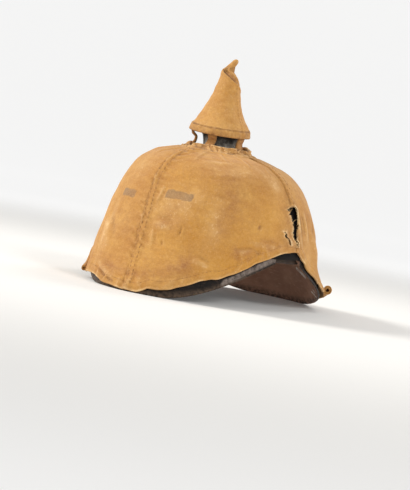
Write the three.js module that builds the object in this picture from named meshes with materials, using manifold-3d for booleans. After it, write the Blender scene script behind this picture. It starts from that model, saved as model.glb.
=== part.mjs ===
// A spiked leather helmet (pickelhaube) under its canvas field cover, standing on the edges of its two visors.
// Millimetres. +Z is up, -Y is the front and +X the wearer's left.
// The origin is on the ground, in the middle of the footprint.
import * as THREE from "three";
import { mergeVertices } from "three/addons/utils/BufferGeometryUtils.js";
import Module from "manifold-3d";

const wasm = await Module();
wasm.setup();

// Wall thicknesses and clearances
const CLOTH = 1.3;
const LEATHER = 2.4;
const BAND_LEATHER = 1.5;
const GAP = 0.5;
const SEAM_RISE = 0.8;
const HEM_RISE = 0.7;

// Heights and places, before the helmet is stood on its visors
const FRAME_Y = -7;
const STAND_LEAN = 1;
const SPIKE_Y = FRAME_Y - 12;
const RIM_Z = 50;
const VISOR_JOINT = 0.4;
const VISOR_SLACK = 0.5;
const VISOR_FLANGE = 9;
const CROWN_Z = 136;
const SHOULDER_Z = 131;
const BAND_BELOW_RIM = 4;
const BAND_HEIGHT = 38;

// Horizontal sections of the cover's outer face. The reaches run from the section's centre,
// and each half is a superellipse of the given exponent.
const SECTIONS = [
  { z: -5, halfWidth: 102.4, centre: 0, front: 141.4, rear: 152, frontPower: 1.8, rearPower: 2.27 },
  { z: 25, halfWidth: 100, centre: 0, front: 127, rear: 134, frontPower: 1.9, rearPower: 2.15 },
  { z: 45, halfWidth: 98, centre: 0, front: 117, rear: 121, frontPower: 2, rearPower: 2.05 },
  { z: 60, halfWidth: 96, centre: 0, front: 112, rear: 115, frontPower: 2, rearPower: 2 },
  { z: 80, halfWidth: 92, centre: -1, front: 105, rear: 107, frontPower: 2, rearPower: 2 },
  { z: 100, halfWidth: 85, centre: -3, front: 95, rear: 97, frontPower: 2, rearPower: 2 },
  { z: 117, halfWidth: 75, centre: -6, front: 81, rear: 84, frontPower: 2, rearPower: 2 },
  { z: 129, halfWidth: 60, centre: -9, front: 62.5, rear: 66, frontPower: 2, rearPower: 2 },
  { z: CROWN_Z, halfWidth: 38, centre: -12, front: 38, rear: 38, frontPower: 2, rearPower: 2 },
];

// The rim drops from the sides to the two visors. It is level between these angles from each visor's middle.
// It bends into the side's line with an ease of 1, and runs up to it nearly straight with an ease of 0.
const VISORS = {
  front: { middle: 0, levelTo: 22, sideAt: 88, endAt: 75, ease: 1 },
  rear: { middle: 180, levelTo: 16, sideAt: 90, endAt: 85, ease: 0 },
};
const STRAIGHT_POWER = 1.55;

// How far the cover's hem lies above the rim, by angle from the front towards the wearer's left.
const HEM_LIFT = [
  { turn: -180, lift: 7 },
  { turn: -110, lift: 4 },
  { turn: -75, lift: -3 },
  { turn: -50, lift: -7 },
  { turn: -44, lift: -5.8 },
  { turn: -36, lift: 1 },
  { turn: -29, lift: 5 },
  { turn: -23, lift: 5 },
  { turn: -12, lift: 3.3 },
  { turn: 0, lift: 2.2 },
  { turn: 12, lift: 3 },
  { turn: 24, lift: 8 },
  { turn: 45, lift: 12 },
  { turn: 60, lift: 11 },
  { turn: 75, lift: 8.5 },
  { turn: 89, lift: 8.5 },
  { turn: 96, lift: 5.5 },
  { turn: 103, lift: 3.6 },
  { turn: 120, lift: 3.2 },
  { turn: 180, lift: 7 },
];

// The front seam wanders from the middle of the cover: its angle at each height.
const SEAM_WANDER = [
  { z: 0, turn: 6.5 },
  { z: 25, turn: 2.5 },
  { z: 50, turn: -0.5 },
  { z: 80, turn: -2.2 },
  { z: 117, turn: -5 },
  { z: CROWN_Z, turn: -4 },
];
const WANDER_REACH = 60;

// Soft folds that stand out from the cover's face: middle, half sizes, tilt and height.
const FOLDS = [
  { turn: -38, z: 20, across: 5, along: 16, tilt: 0.5, height: 1.6 },
  { turn: -58, z: 36, across: 7, along: 12, tilt: -0.3, height: 1.4 },
  { turn: -20, z: 44, across: 16, along: 12, tilt: 0, height: 1.6 },
  { turn: 26, z: 26, across: 9, along: 12, tilt: 0.4, height: 1.8 },
  { turn: 52, z: 44, across: 9, along: 11, tilt: -0.6, height: 2 },
  { turn: 112, z: 62, across: 6, along: 26, tilt: 0.1, height: 2.4 },
  { turn: 137, z: 12, across: 16, along: 12, tilt: 0, height: 3 },
  { turn: 166, z: 46, across: 12, along: 16, tilt: 0.2, height: 2.2 },
  { turn: -150, z: 50, across: 12, along: 18, tilt: -0.2, height: 2 },
];

// The rolled stretches of the hem, by angle from the front.
const HEM_ROLLS = [
  { from: 129, to: 228, radius: 4.3, rise: 3.5 },
  { from: -72, to: -43, radius: 2.7, rise: 2.2 },
];
const ROLL_OPEN = 50;

// The tears beside the left seam: their two edges, ahead of the seam's middle, at each height.
const TEARS = [
  [
    { z: 68, back: 2.6, front: 6.6 },
    { z: 73, back: 1.6, front: 9.2 },
    { z: 78, back: 1.2, front: 8.6 },
    { z: 84, back: 1.8, front: 10.6 },
    { z: 89, back: 2.4, front: 10.2 },
    { z: 92.5, back: 3, front: 14.4 },
    { z: 97, back: 5.4, front: 12.6 },
  ],
  [
    { z: 66.5, back: 13, front: 13.6 },
    { z: 71, back: 15.4, front: 18 },
    { z: 76, back: 19.4, front: 20.6 },
  ],
];

// The collar of the cover, round the spike's neck. Its edge stands higher to the wearer's left and rear.
const COLLAR = [
  { radius: 34.6, z: 137, insideRadius: 34.2, insideZ: 135.7 },
  { radius: 31.2, z: 138, insideRadius: 30.2, insideZ: 136.6 },
  { radius: 29.5, z: 139.4, insideRadius: 27.7, insideZ: 138.6 },
  { radius: 29, z: 141.2, insideRadius: 27, insideZ: 141.2 },
];
const COLLAR_WAVE = 0.5;
const COLLAR_SLOPE = 2;

// Crown of the leather shell, above its last full section, as rings about the spike's axis.
const SHELL_CROWN = [
  { radius: 40, z: 130.4 },
  { radius: 20, z: 132 },
  { radius: 0, z: 132.4 },
];

// Outer face of the spike and its base plate, from the plate's edge to the tip, and its hollow below.
const SPIKE_FACE = [
  { radius: 42, z: 132.2 },
  { radius: 30, z: 133.6 },
  { radius: 21, z: 134.8 },
  { radius: 16.8, z: 137.4 },
  { radius: 15.3, z: 141.5 },
  { radius: 15.9, z: 145.5 },
  { radius: 17.6, z: 150.5 },
  { radius: 19.6, z: 152.4 },
  { radius: 19.6, z: 155.4 },
  { radius: 16.6, z: 157 },
  { radius: 11.5, z: 161 },
  { radius: 8.6, z: 174 },
  { radius: 5.2, z: 193 },
  { radius: 2.2, z: 206.5 },
  { radius: 0, z: 208.2 },
];
const SPIKE_HOLLOW = [
  { radius: 0, z: 203 },
  { radius: 4, z: 193 },
  { radius: 7.4, z: 174 },
  { radius: 10.3, z: 160.4 },
  { radius: 15.2, z: 155.6 },
  { radius: 16.2, z: 151.4 },
  { radius: 14.2, z: 143 },
  { radius: 15.8, z: 135.4 },
  { radius: 21, z: 133.4 },
  { radius: 42, z: 131 },
];

// Sections of the spike's cover. lean shifts a section along the bend, wide and deep are half sizes along
// it and across it, and drop lowers the side that faces the wearer's left front.
const BEND_TURN = 122;
const DROP_TURN = 32;
const SPIKE_COVER = [
  { z: 151.6, lean: -1.3, wide: 28.6, deep: 28.6, drop: 2.2, hem: HEM_RISE },
  { z: 155.6, lean: -1.3, wide: 27.9, deep: 27.9, drop: 2, hem: HEM_RISE },
  { z: 159.6, lean: -1.3, wide: 27, deep: 27, drop: 1.8, hem: HEM_RISE },
  { z: 160.8, lean: -1.3, wide: 26.4, deep: 26.4, drop: 1.7, hem: 0 },
  { z: 164, lean: -1.2, wide: 24.6, deep: 24.6, drop: 1.4, hem: 0 },
  { z: 169.5, lean: -1.4, wide: 21.5, deep: 21.8, drop: 1, hem: 0 },
  { z: 175.5, lean: -1.5, wide: 18.7, deep: 19, drop: 0.6, hem: 0 },
  { z: 183, lean: -1.4, wide: 15.6, deep: 15.6, drop: 0.3, hem: 0 },
  { z: 191, lean: -1.2, wide: 13.1, deep: 12.8, drop: 0, hem: 0 },
  { z: 200, lean: -0.8, wide: 11.1, deep: 10.6, drop: 0, hem: 0 },
  { z: 206, lean: -1.2, wide: 9.2, deep: 8.6, drop: 0, hem: 0 },
  { z: 210.2, lean: -2.8, wide: 7.4, deep: 6.2, drop: 0, hem: 0 },
  { z: 213.4, lean: -4, wide: 5.1, deep: 4, drop: 0, hem: 0 },
];
// The closed tail above the hollow of the spike's cover.
const TAIL = [
  { z: 215.4, lean: -2.7, wide: 4.1, deep: 3 },
  { z: 218.4, lean: -0.6, wide: 3.7, deep: 2.6 },
  { z: 221.6, lean: 1.5, wide: 3.1, deep: 2.4 },
  { z: 223.8, lean: 2.2, wide: 2, deep: 1.7 },
];
const TAIL_TIP = 0.8;

// The tabs that tie the spike's cover to the collar.
const TAB_COUNT = 5;
const TAB_START = 14;
const TAB_WIDTH = 8.6;
const TAB_CLOTH = 1.9;
const TAB_FOOT = [
  { z: 136.8, radius: 26.1 },
  { z: 140.6, radius: 26.1 },
  { z: 143.6, radius: 24.4 },
  { z: 146.6, radius: 24 },
];
const TAB_HEAD = [
  { z: 149.6, offCover: 1.1 },
  { z: 153.2, offCover: 0.4 },
  { z: 157.2, offCover: 0.4 },
];

// How finely the solids are faceted
const COLUMNS_BETWEEN_SEAMS = 10;
const SEAM_HALF_WIDTH = 3.6;
const DOME_ROWS = [62, 75, 88, 100, 110, 119, 126];
const SHELL_COLUMNS = 40;
const VISOR_COLUMNS = 26;
const VISOR_ROWS = 3;
const HEM_ROWS = 4;
const SPIKE_SIDES = 24;
const SPIKE_COVER_SIDES = 26;
const ROLL_SIDES = 8;
const ROLL_STEP = 8;
const WELD = 1e-4;

const rad = THREE.MathUtils.degToRad;
const lerp = THREE.MathUtils.lerp;
const smoothstep = THREE.MathUtils.smoothstep;

// Smooth curve through one column of a table, with no overshoot between its rows.
function columnCurve(rows, key, column) {
  const x = rows.map((row) => row[key]);
  const y = rows.map((row) => row[column]);
  const rise = x.slice(1).map((next, i) => (y[i + 1] - y[i]) / (next - x[i]));
  const slope = x.map((_, i) => {
    const before = rise[Math.max(i - 1, 0)];
    const after = rise[Math.min(i, rise.length - 1)];
    return before * after > 0 ? (2 * before * after) / (before + after) : 0;
  });
  return (at) => {
    const last = rise.length - 1;
    const i = Math.min(last, Math.max(0, x.findLastIndex((value) => value <= at)));
    const span = x[i + 1] - x[i];
    const t = THREE.MathUtils.clamp((at - x[i]) / span, 0, 1);
    const ease = t * t * (3 - 2 * t);
    const leaving = t * (1 - t) * (1 - t);
    const arriving = t * t * (t - 1);
    return lerp(y[i], y[i + 1], ease) + span * (leaving * slope[i] + arriving * slope[i + 1]);
  };
}

const sectionCurves = Object.fromEntries(
  Object.keys(SECTIONS[0]).map((column) => [column, columnCurve(SECTIONS, "z", column)]),
);
const hemLift = columnCurve(HEM_LIFT, "turn", "lift");
const seamWander = columnCurve(SEAM_WANDER, "z", "turn");

// An angle in degrees brought into -180 to 180.
function wrapped(turn) {
  return THREE.MathUtils.euclideanModulo(turn + 180, 360) - 180;
}

// Power of a signed number that keeps its sign.
function signedPower(value, power) {
  return Math.sign(value) * Math.abs(value) ** power;
}

// Point of the cover's smooth outer face, at an angle in degrees from the front towards the wearer's left.
function facePoint(turn, z) {
  const across = Math.sin(rad(turn));
  const forward = Math.cos(rad(turn));
  const half = forward >= 0 ? "front" : "rear";
  const power = 2 / sectionCurves[half + "Power"](z);
  const x = sectionCurves.halfWidth(z) * signedPower(across, power);
  const y = FRAME_Y + sectionCurves.centre(z) - sectionCurves[half](z) * signedPower(forward, power);
  return new THREE.Vector3(x, y, z);
}

const LOWEST_Z = SECTIONS[0].z;
const NORMAL_TURN = 0.4;
const NORMAL_RISE = 0.4;

// Unit normal of that face, outwards.
function faceNormal(turn, z) {
  const high = Math.min(z + NORMAL_RISE, CROWN_Z);
  const low = Math.max(z - NORMAL_RISE, LOWEST_Z);
  const round = facePoint(turn + NORMAL_TURN, z).sub(facePoint(turn - NORMAL_TURN, z));
  const up = facePoint(turn, high).sub(facePoint(turn, low));
  return round.cross(up).normalize();
}

// Point at a depth below the cover's outer face, or above it where the depth is negative.
function pointBelow(turn, z, depth) {
  return facePoint(turn, z).addScaledVector(faceNormal(turn, z), -depth);
}

// The same, moved level, so that the point keeps its height.
function pointWithin(turn, z, depth) {
  const normal = faceNormal(turn, z).setZ(0);
  const slope = normal.length();
  return facePoint(turn, z).addScaledVector(normal.normalize(), -depth / slope);
}

// Height of the ground below a point, before the helmet is stood up.
function groundHeight(y) {
  return -Math.tan(rad(STAND_LEAN)) * y;
}

// How far the rim has climbed from a visor's level edge, 0, to the sides, 1.
function rimClimb(turn) {
  const off = Math.abs(wrapped(turn));
  const visor = off <= 90 ? VISORS.front : VISORS.rear;
  const fromMiddle = off <= 90 ? off : 180 - off;
  const part = THREE.MathUtils.clamp((fromMiddle - visor.levelTo) / (visor.sideAt - visor.levelTo), 0, 1);
  return lerp(part ** STRAIGHT_POWER, smoothstep(part, 0, 1), visor.ease);
}

// Height of the helmet's rim: on the ground under the visors and high at the sides.
function rimHeight(turn) {
  return lerp(groundHeight(facePoint(turn, 0).y), RIM_Z, rimClimb(turn));
}

// Closed wall between an outer and an inner grid of points, with rows from bottom to top and columns by
// growing angle. A ring closes on itself, and an open wall gets two ends. Empty faces are left out.
function wall(outer, inner, ring) {
  const columns = outer[0].length;
  const corners = [];
  const face = (a, b, c) => {
    if (a.distanceTo(b) > 0 && b.distanceTo(c) > 0 && c.distanceTo(a) > 0) corners.push(a, b, c);
  };
  const quad = (a, b, c, d) => {
    face(a, b, c);
    face(a, c, d);
  };
  const top = outer.length - 1;
  for (let i = 0; i < (ring ? columns : columns - 1); i += 1) {
    const next = (i + 1) % columns;
    for (let row = 0; row < top; row += 1) {
      quad(outer[row][i], outer[row][next], outer[row + 1][next], outer[row + 1][i]);
      quad(inner[row][next], inner[row][i], inner[row + 1][i], inner[row + 1][next]);
    }
    quad(inner[0][i], inner[0][next], outer[0][next], outer[0][i]);
    quad(outer[top][i], outer[top][next], inner[top][next], inner[top][i]);
  }
  if (!ring) {
    const end = columns - 1;
    for (let row = 0; row < top; row += 1) {
      quad(inner[row][0], outer[row][0], outer[row + 1][0], inner[row + 1][0]);
      quad(outer[row][end], inner[row][end], inner[row + 1][end], outer[row + 1][end]);
    }
  }
  return new THREE.BufferGeometry().setFromPoints(corners);
}

// Boolean work
function solidOf(geometry) {
  const bare = geometry.clone();
  bare.deleteAttribute("normal");
  bare.deleteAttribute("uv");
  const merged = mergeVertices(bare, WELD);
  const mesh = new wasm.Mesh({
    numProp: 3,
    vertProperties: merged.attributes.position.array,
    triVerts: new Uint32Array(merged.index.array),
  });
  return new wasm.Manifold(mesh);
}

function geometryOf(solid) {
  const mesh = solid.getMesh();
  const geometry = new THREE.BufferGeometry();
  geometry.setAttribute("position", new THREE.BufferAttribute(new Float32Array(mesh.vertProperties), 3));
  geometry.setIndex(new THREE.BufferAttribute(new Uint32Array(mesh.triVerts), 1));
  return geometry;
}

// Angles of the cover's columns, close together beside the four seams.
function coverColumns() {
  const beside = [-SEAM_HALF_WIDTH, -SEAM_HALF_WIDTH / 2, 0, SEAM_HALF_WIDTH / 2, SEAM_HALF_WIDTH];
  const turns = [];
  for (const seam of [0, 90, 180, 270]) {
    turns.push(...beside.map((off) => seam + off));
    const room = 90 - 2 * SEAM_HALF_WIDTH;
    for (let i = 1; i < COLUMNS_BETWEEN_SEAMS; i += 1) {
      turns.push(seam + SEAM_HALF_WIDTH + (room * i) / COLUMNS_BETWEEN_SEAMS);
    }
  }
  return turns;
}
const COLUMNS = coverColumns();
const SHELL_TURNS = Array.from({ length: SHELL_COLUMNS }, (_, i) => (360 * i) / SHELL_COLUMNS);

// Where a column of the cover really runs at a height, with the front seam's wander.
function coverTurn(turn, z) {
  const near = 1 - smoothstep(Math.abs(wrapped(turn)), 0, WANDER_REACH);
  return turn + seamWander(z) * near;
}

// Height of the soft folds over the smooth face.
function foldHeight(turn, z) {
  let height = 0;
  for (const fold of FOLDS) {
    const along = (z - fold.z) / fold.along;
    const across = wrapped(turn - fold.turn) / fold.across - fold.tilt * along;
    height += fold.height * Math.exp(-along * along - across * across);
  }
  return height;
}

// Extra cloth on the outside of a seam, by angle from the nearest seam.
function seamHeight(turn) {
  const off = Math.abs(wrapped(4 * turn)) / 4;
  return SEAM_RISE * (1 - smoothstep(off, SEAM_HALF_WIDTH / 2, SEAM_HALF_WIDTH));
}

// Point on a circle about the spike's axis.
function spikeRing(radius, z, turn) {
  return new THREE.Vector3(radius * Math.sin(rad(turn)), SPIKE_Y - radius * Math.cos(rad(turn)), z);
}

function shellGeometry() {
  const face = CLOTH + GAP;
  const ring = (z, depth) => SHELL_TURNS.map((turn) => pointBelow(turn, z, depth));
  const edge = (depth) => SHELL_TURNS.map((turn) => pointWithin(turn, RIM_Z, depth));
  const crown = (radius, z) => SHELL_TURNS.map((turn) => spikeRing(radius, z, turn));
  const outer = [edge(face), ...DOME_ROWS.map((z) => ring(z, face))];
  const inner = [edge(face + LEATHER), ...DOME_ROWS.map((z) => ring(z, face + LEATHER))];
  for (const { radius, z } of SHELL_CROWN) {
    outer.push(crown(radius, z));
    inner.push(crown(radius, z - LEATHER));
  }
  return wall(outer, inner, true);
}

// A visor flares out below the shell's edge, and its upturned flange lies inside the shell.
function visorGeometry(visor) {
  const face = CLOTH + GAP + VISOR_SLACK;
  const flangeFace = CLOTH + LEATHER + 2 * GAP;
  const shoulder = RIM_Z - VISOR_JOINT;
  const turns = [];
  for (let i = 0; i <= VISOR_COLUMNS; i += 1) {
    turns.push(visor.middle + lerp(-visor.endAt, visor.endAt, i / VISOR_COLUMNS));
  }
  const edge = (turn, depth) => {
    const point = pointWithin(turn, rimHeight(turn), depth);
    return point.setZ(lerp(groundHeight(point.y), RIM_Z, rimClimb(turn)));
  };
  const outer = [turns.map((turn) => edge(turn, face))];
  const inner = [turns.map((turn) => edge(turn, face + LEATHER))];
  for (let row = 1; row <= VISOR_ROWS; row += 1) {
    const part = row / VISOR_ROWS;
    const underside = shoulder - LEATHER;
    outer.push(turns.map((turn) => pointWithin(turn, lerp(rimHeight(turn), shoulder, part), face)));
    inner.push(turns.map((turn) => pointWithin(turn, lerp(rimHeight(turn), underside, part), face + LEATHER)));
  }
  const flangeTop = RIM_Z + VISOR_FLANGE;
  outer.push(turns.map((turn) => pointWithin(turn, shoulder, flangeFace)));
  inner.push(turns.map((turn) => pointWithin(turn, shoulder, flangeFace + LEATHER)));
  outer.push(turns.map((turn) => pointWithin(turn, flangeTop, flangeFace)));
  inner.push(turns.map((turn) => pointWithin(turn, flangeTop, flangeFace + LEATHER)));
  return wall(outer, inner, false);
}

function sweatbandGeometry() {
  const face = CLOTH + 2 * LEATHER + 3 * GAP;
  const bottom = RIM_Z - BAND_BELOW_RIM;
  const heights = [bottom, bottom + BAND_HEIGHT / 2, bottom + BAND_HEIGHT];
  const ring = (z, depth) => SHELL_TURNS.map((turn) => pointWithin(turn, z, depth));
  const outer = heights.map((z) => ring(z, face));
  const inner = heights.map((z) => ring(z, face + BAND_LEATHER));
  return wall(outer, inner, true);
}

// Sheet-metal spike, hollow and open below, with its base plate.
function spikeGeometry() {
  const profile = [...SPIKE_HOLLOW, ...SPIKE_FACE].map(({ radius, z }) => new THREE.Vector2(radius, z));
  return new THREE.LatheGeometry(profile, SPIKE_SIDES).rotateX(Math.PI / 2).translate(0, SPIKE_Y, 0);
}

// Heights of a column of the cover: a band above the hem, then the rows of the dome and the crown.
function coverHeights(turn) {
  const hem = rimHeight(turn) + hemLift(wrapped(turn));
  const heights = [];
  for (let row = 0; row < HEM_ROWS; row += 1) heights.push(lerp(hem, DOME_ROWS[0], row / HEM_ROWS));
  return [...heights, ...DOME_ROWS, SHOULDER_Z, CROWN_Z];
}

// Point of the collar for a row of its table. Its standing edge slopes, and it is drawn in at every tab.
function collarPoint(row, radius, z, turn) {
  const edge = row / (COLLAR.length - 1);
  const wave = -COLLAR_WAVE * Math.cos(rad(2 * TAB_COUNT * (turn - TAB_START))) * edge;
  const slope = COLLAR_SLOPE * Math.cos(rad(turn - BEND_TURN)) * edge;
  return spikeRing(radius + wave, z + slope, turn);
}

// One hem roll: a strip of cloth curled into an open tube along the hem.
function hemRollGeometry({ from, to, radius, rise }) {
  const count = Math.round((to - from) / ROLL_STEP);
  const outer = [];
  const inner = [];
  for (let row = 0; row <= ROLL_SIDES; row += 1) {
    const angle = rad(180 + ROLL_OPEN / 2 + ((360 - ROLL_OPEN) * row) / ROLL_SIDES);
    const ring = (reach) => {
      const points = [];
      for (let i = 0; i <= count; i += 1) {
        const turn = lerp(from, to, i / count);
        const z = rimHeight(turn) + hemLift(wrapped(turn)) + rise;
        const normal = faceNormal(turn, z).setZ(0).normalize();
        const middle = pointBelow(turn, z, -foldHeight(turn, z)).addScaledVector(normal, radius - CLOTH);
        middle.addScaledVector(normal, reach * Math.cos(angle));
        points.push(middle.setZ(z + reach * Math.sin(angle)));
      }
      return points;
    };
    outer.push(ring(radius));
    inner.push(ring(radius - CLOTH));
  }
  return wall(outer, inner, false);
}

function tearGeometry(rows) {
  const outline = [
    ...rows.map(({ z, back }) => new THREE.Vector2(FRAME_Y - back, z)),
    ...rows.map(({ z, front }) => new THREE.Vector2(FRAME_Y - front, z)).reverse(),
  ];
  const reach = SECTIONS[0].halfWidth;
  const prism = new THREE.ExtrudeGeometry(new THREE.Shape(outline), { depth: reach, bevelEnabled: false });
  const axes = new THREE.Matrix4().set(0, 0, 1, reach / 2, 1, 0, 0, 0, 0, 1, 0, 0, 0, 0, 0, 1);
  return prism.applyMatrix4(axes);
}

// The canvas cover over the dome and both visors, with raised seams, rolled hems and tears.
function crownCoverGeometry() {
  const outer = [];
  const inner = [];
  const heights = COLUMNS.map(coverHeights);
  for (let row = 0; row < heights[0].length; row += 1) {
    const points = (outside) =>
      COLUMNS.map((turn, i) => {
        const z = heights[i][row];
        const at = coverTurn(turn, z);
        const cloth = outside ? seamHeight(turn) + (row === 0 ? HEM_RISE : 0) : -CLOTH;
        return pointBelow(at, z, -foldHeight(at, z) - cloth);
      });
    outer.push(points(true));
    inner.push(points(false));
  }
  COLLAR.forEach(({ radius, z, insideRadius, insideZ }, row) => {
    outer.push(COLUMNS.map((turn) => collarPoint(row, radius, z, turn)));
    inner.push(COLUMNS.map((turn) => collarPoint(row, insideRadius, insideZ, turn)));
  });
  let solid = solidOf(wall(outer, inner, true));
  for (const roll of HEM_ROLLS) solid = solid.add(solidOf(hemRollGeometry(roll)));
  for (const rows of TEARS) solid = solid.subtract(solidOf(tearGeometry(rows)));
  return geometryOf(solid);
}

// Point of the spike's cover at an angle about the spike's axis, for a row of its tables.
function spikeCoverPoint({ z, lean, wide, deep, drop = 0, hem = 0 }, turn, depth) {
  const bend = rad(turn - BEND_TURN);
  const along = lean + (wide + hem - depth) * Math.cos(bend);
  const across = (deep + hem - depth) * Math.sin(bend);
  const x = along * Math.sin(rad(BEND_TURN)) + across * Math.cos(rad(BEND_TURN));
  const y = SPIKE_Y - along * Math.cos(rad(BEND_TURN)) + across * Math.sin(rad(BEND_TURN));
  return new THREE.Vector3(x, y, z - drop * Math.cos(rad(turn - DROP_TURN)));
}

function spikeCoverGeometry() {
  const turns = Array.from({ length: SPIKE_COVER_SIDES }, (_, i) => (360 * i) / SPIKE_COVER_SIDES);
  const ring = (row, depth) => turns.map((turn) => spikeCoverPoint(row, turn, depth));
  const collapsed = (row) => turns.map(() => spikeCoverPoint({ ...row, wide: 0, deep: 0 }, 0, 0));
  const outer = SPIKE_COVER.map((row) => ring(row, 0));
  const inner = SPIKE_COVER.map((row) => ring({ ...row, hem: 0 }, CLOTH));
  const hollowTop = collapsed(SPIKE_COVER[SPIKE_COVER.length - 1]);
  for (const row of TAIL) {
    outer.push(ring(row, 0));
    inner.push(hollowTop);
  }
  const last = TAIL[TAIL.length - 1];
  outer.push(collapsed({ ...last, z: last.z + TAIL_TIP }));
  inner.push(hollowTop);
  return wall(outer, inner, true);
}

const spikeCoverWide = columnCurve(SPIKE_COVER, "z", "wide");
const spikeCoverLean = columnCurve(SPIKE_COVER, "z", "lean");

// Rows of a tab's outer face: a foot inside the collar, and a head inside the hem of the spike's cover.
function tabRows(turn) {
  const lean = Math.cos(rad(turn - BEND_TURN));
  const drop = SPIKE_COVER[0].drop * Math.cos(rad(turn - DROP_TURN));
  const head = TAB_HEAD.map(({ z, offCover }) => {
    const inside = spikeCoverWide(z + drop) - CLOTH + spikeCoverLean(z + drop) * lean;
    return { z, radius: inside - offCover };
  });
  return [...TAB_FOOT, ...head];
}

function tabGeometry(turn) {
  const outer = [];
  const inner = [];
  for (const { z, radius } of tabRows(turn)) {
    const halfTurn = THREE.MathUtils.radToDeg(TAB_WIDTH / 2 / radius);
    const across = [-1, 0, 1].map((side) => turn + side * halfTurn);
    outer.push(across.map((at) => spikeRing(radius, z, at)));
    inner.push(across.map((at) => spikeRing(radius - TAB_CLOTH, z, at)));
  }
  return wall(outer, inner, false);
}

// Colours and finishes
const canvas = new THREE.MeshStandardMaterial({ color: 0xd09a56, roughness: 0.95, metalness: 0 });
const tabCanvas = new THREE.MeshStandardMaterial({ color: 0xb8824d, roughness: 0.95, metalness: 0 });
const blackLeather = new THREE.MeshStandardMaterial({ color: 0x1c1917, roughness: 0.5, metalness: 0 });
const visorLeather = new THREE.MeshStandardMaterial({ color: 0x3a2d27, roughness: 0.42, metalness: 0 });
const bandLeather = new THREE.MeshStandardMaterial({ color: 0x4a3a30, roughness: 0.75, metalness: 0 });
const darkMetal = new THREE.MeshStandardMaterial({ color: 0x3d3b37, roughness: 0.45, metalness: 0.9 });

// Every piece is stood on the ground with the helmet.
function piece(name, geometry, material) {
  const mesh = new THREE.Mesh(geometry.rotateX(rad(STAND_LEAN)), material);
  mesh.name = name;
  return mesh;
}

const helmet = new THREE.Group();
helmet.add(piece("shell", shellGeometry(), blackLeather));
helmet.add(piece("front_visor", visorGeometry(VISORS.front), visorLeather));
helmet.add(piece("rear_visor", visorGeometry(VISORS.rear), visorLeather));
helmet.add(piece("sweatband", sweatbandGeometry(), bandLeather));
helmet.add(piece("spike", spikeGeometry(), darkMetal));
helmet.add(piece("crown_cover", crownCoverGeometry(), canvas));
helmet.add(piece("spike_cover", spikeCoverGeometry(), canvas));
for (let i = 0; i < TAB_COUNT; i += 1) {
  const turn = TAB_START + (360 / TAB_COUNT) * i;
  helmet.add(piece("tab_" + (i + 1), tabGeometry(turn), tabCanvas));
}

export default helmet;
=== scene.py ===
# Visual model of a spiked leather helmet under its canvas cover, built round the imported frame.
# Shapes are in millimetres on the helmet's own axes, and then stand on the visors as the solids do.
import math

import bpy
import numpy as np
from mathutils import Matrix, Vector, noise


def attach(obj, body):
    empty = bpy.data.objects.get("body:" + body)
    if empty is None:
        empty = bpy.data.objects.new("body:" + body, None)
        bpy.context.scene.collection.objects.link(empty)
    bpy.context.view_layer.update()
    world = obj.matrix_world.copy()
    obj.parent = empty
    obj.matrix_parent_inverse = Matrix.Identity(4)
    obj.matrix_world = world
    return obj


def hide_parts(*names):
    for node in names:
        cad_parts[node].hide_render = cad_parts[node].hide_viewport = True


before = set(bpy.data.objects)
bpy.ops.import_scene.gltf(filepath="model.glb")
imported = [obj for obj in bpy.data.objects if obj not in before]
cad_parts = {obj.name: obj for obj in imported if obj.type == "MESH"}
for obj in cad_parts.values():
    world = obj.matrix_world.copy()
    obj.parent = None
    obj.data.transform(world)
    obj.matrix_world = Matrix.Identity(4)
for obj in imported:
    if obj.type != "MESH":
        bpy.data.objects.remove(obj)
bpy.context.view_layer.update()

MM = 0.001
UP = np.array([0, 0, 1.0])

# Sizes shared with the solids
CLOTH = 1.3
LEATHER = 2.4
BAND_LEATHER = 1.5
GAP = 0.5
VISOR_SLACK = 0.5
VISOR_JOINT = 0.4
VISOR_FLANGE = 9
FRAME_Y = -7
SPIKE_Y = FRAME_Y - 12
STAND_LEAN = 1
RIM_Z = 50
CROWN_Z = 136
DOME_Z = 62
BAND_BELOW_RIM = 4
BAND_HEIGHT = 38
BEND_TURN = 122
DROP_TURN = 32
TAB_COUNT = 5
TAB_START = 14
STRAIGHT_POWER = 1.55
VISORS = {
    "front": {"middle": 0, "level": 22, "side": 88, "end": 75},
    "rear": {"middle": 180, "level": 16, "side": 90, "end": 85},
}


def table(columns, *rows):
    """Rows of numbers as a dict of named columns."""
    return dict(zip(columns.split(), np.array(rows, float).T))


def each_row(columns):
    """The rows of a table, each as a dict."""
    return [dict(zip(columns, row)) for row in zip(*columns.values())]


SECTIONS = table(
    "z half centre front rear front_power rear_power",
    (-5, 102.4, 0, 141.4, 152, 1.8, 2.27),
    (25, 100, 0, 127, 134, 1.9, 2.15),
    (45, 98, 0, 117, 121, 2, 2.05),
    (60, 96, 0, 112, 115, 2, 2),
    (80, 92, -1, 105, 107, 2, 2),
    (100, 85, -3, 95, 97, 2, 2),
    (117, 75, -6, 81, 84, 2, 2),
    (129, 60, -9, 62.5, 66, 2, 2),
    (CROWN_Z, 38, -12, 38, 38, 2, 2),
)
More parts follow.
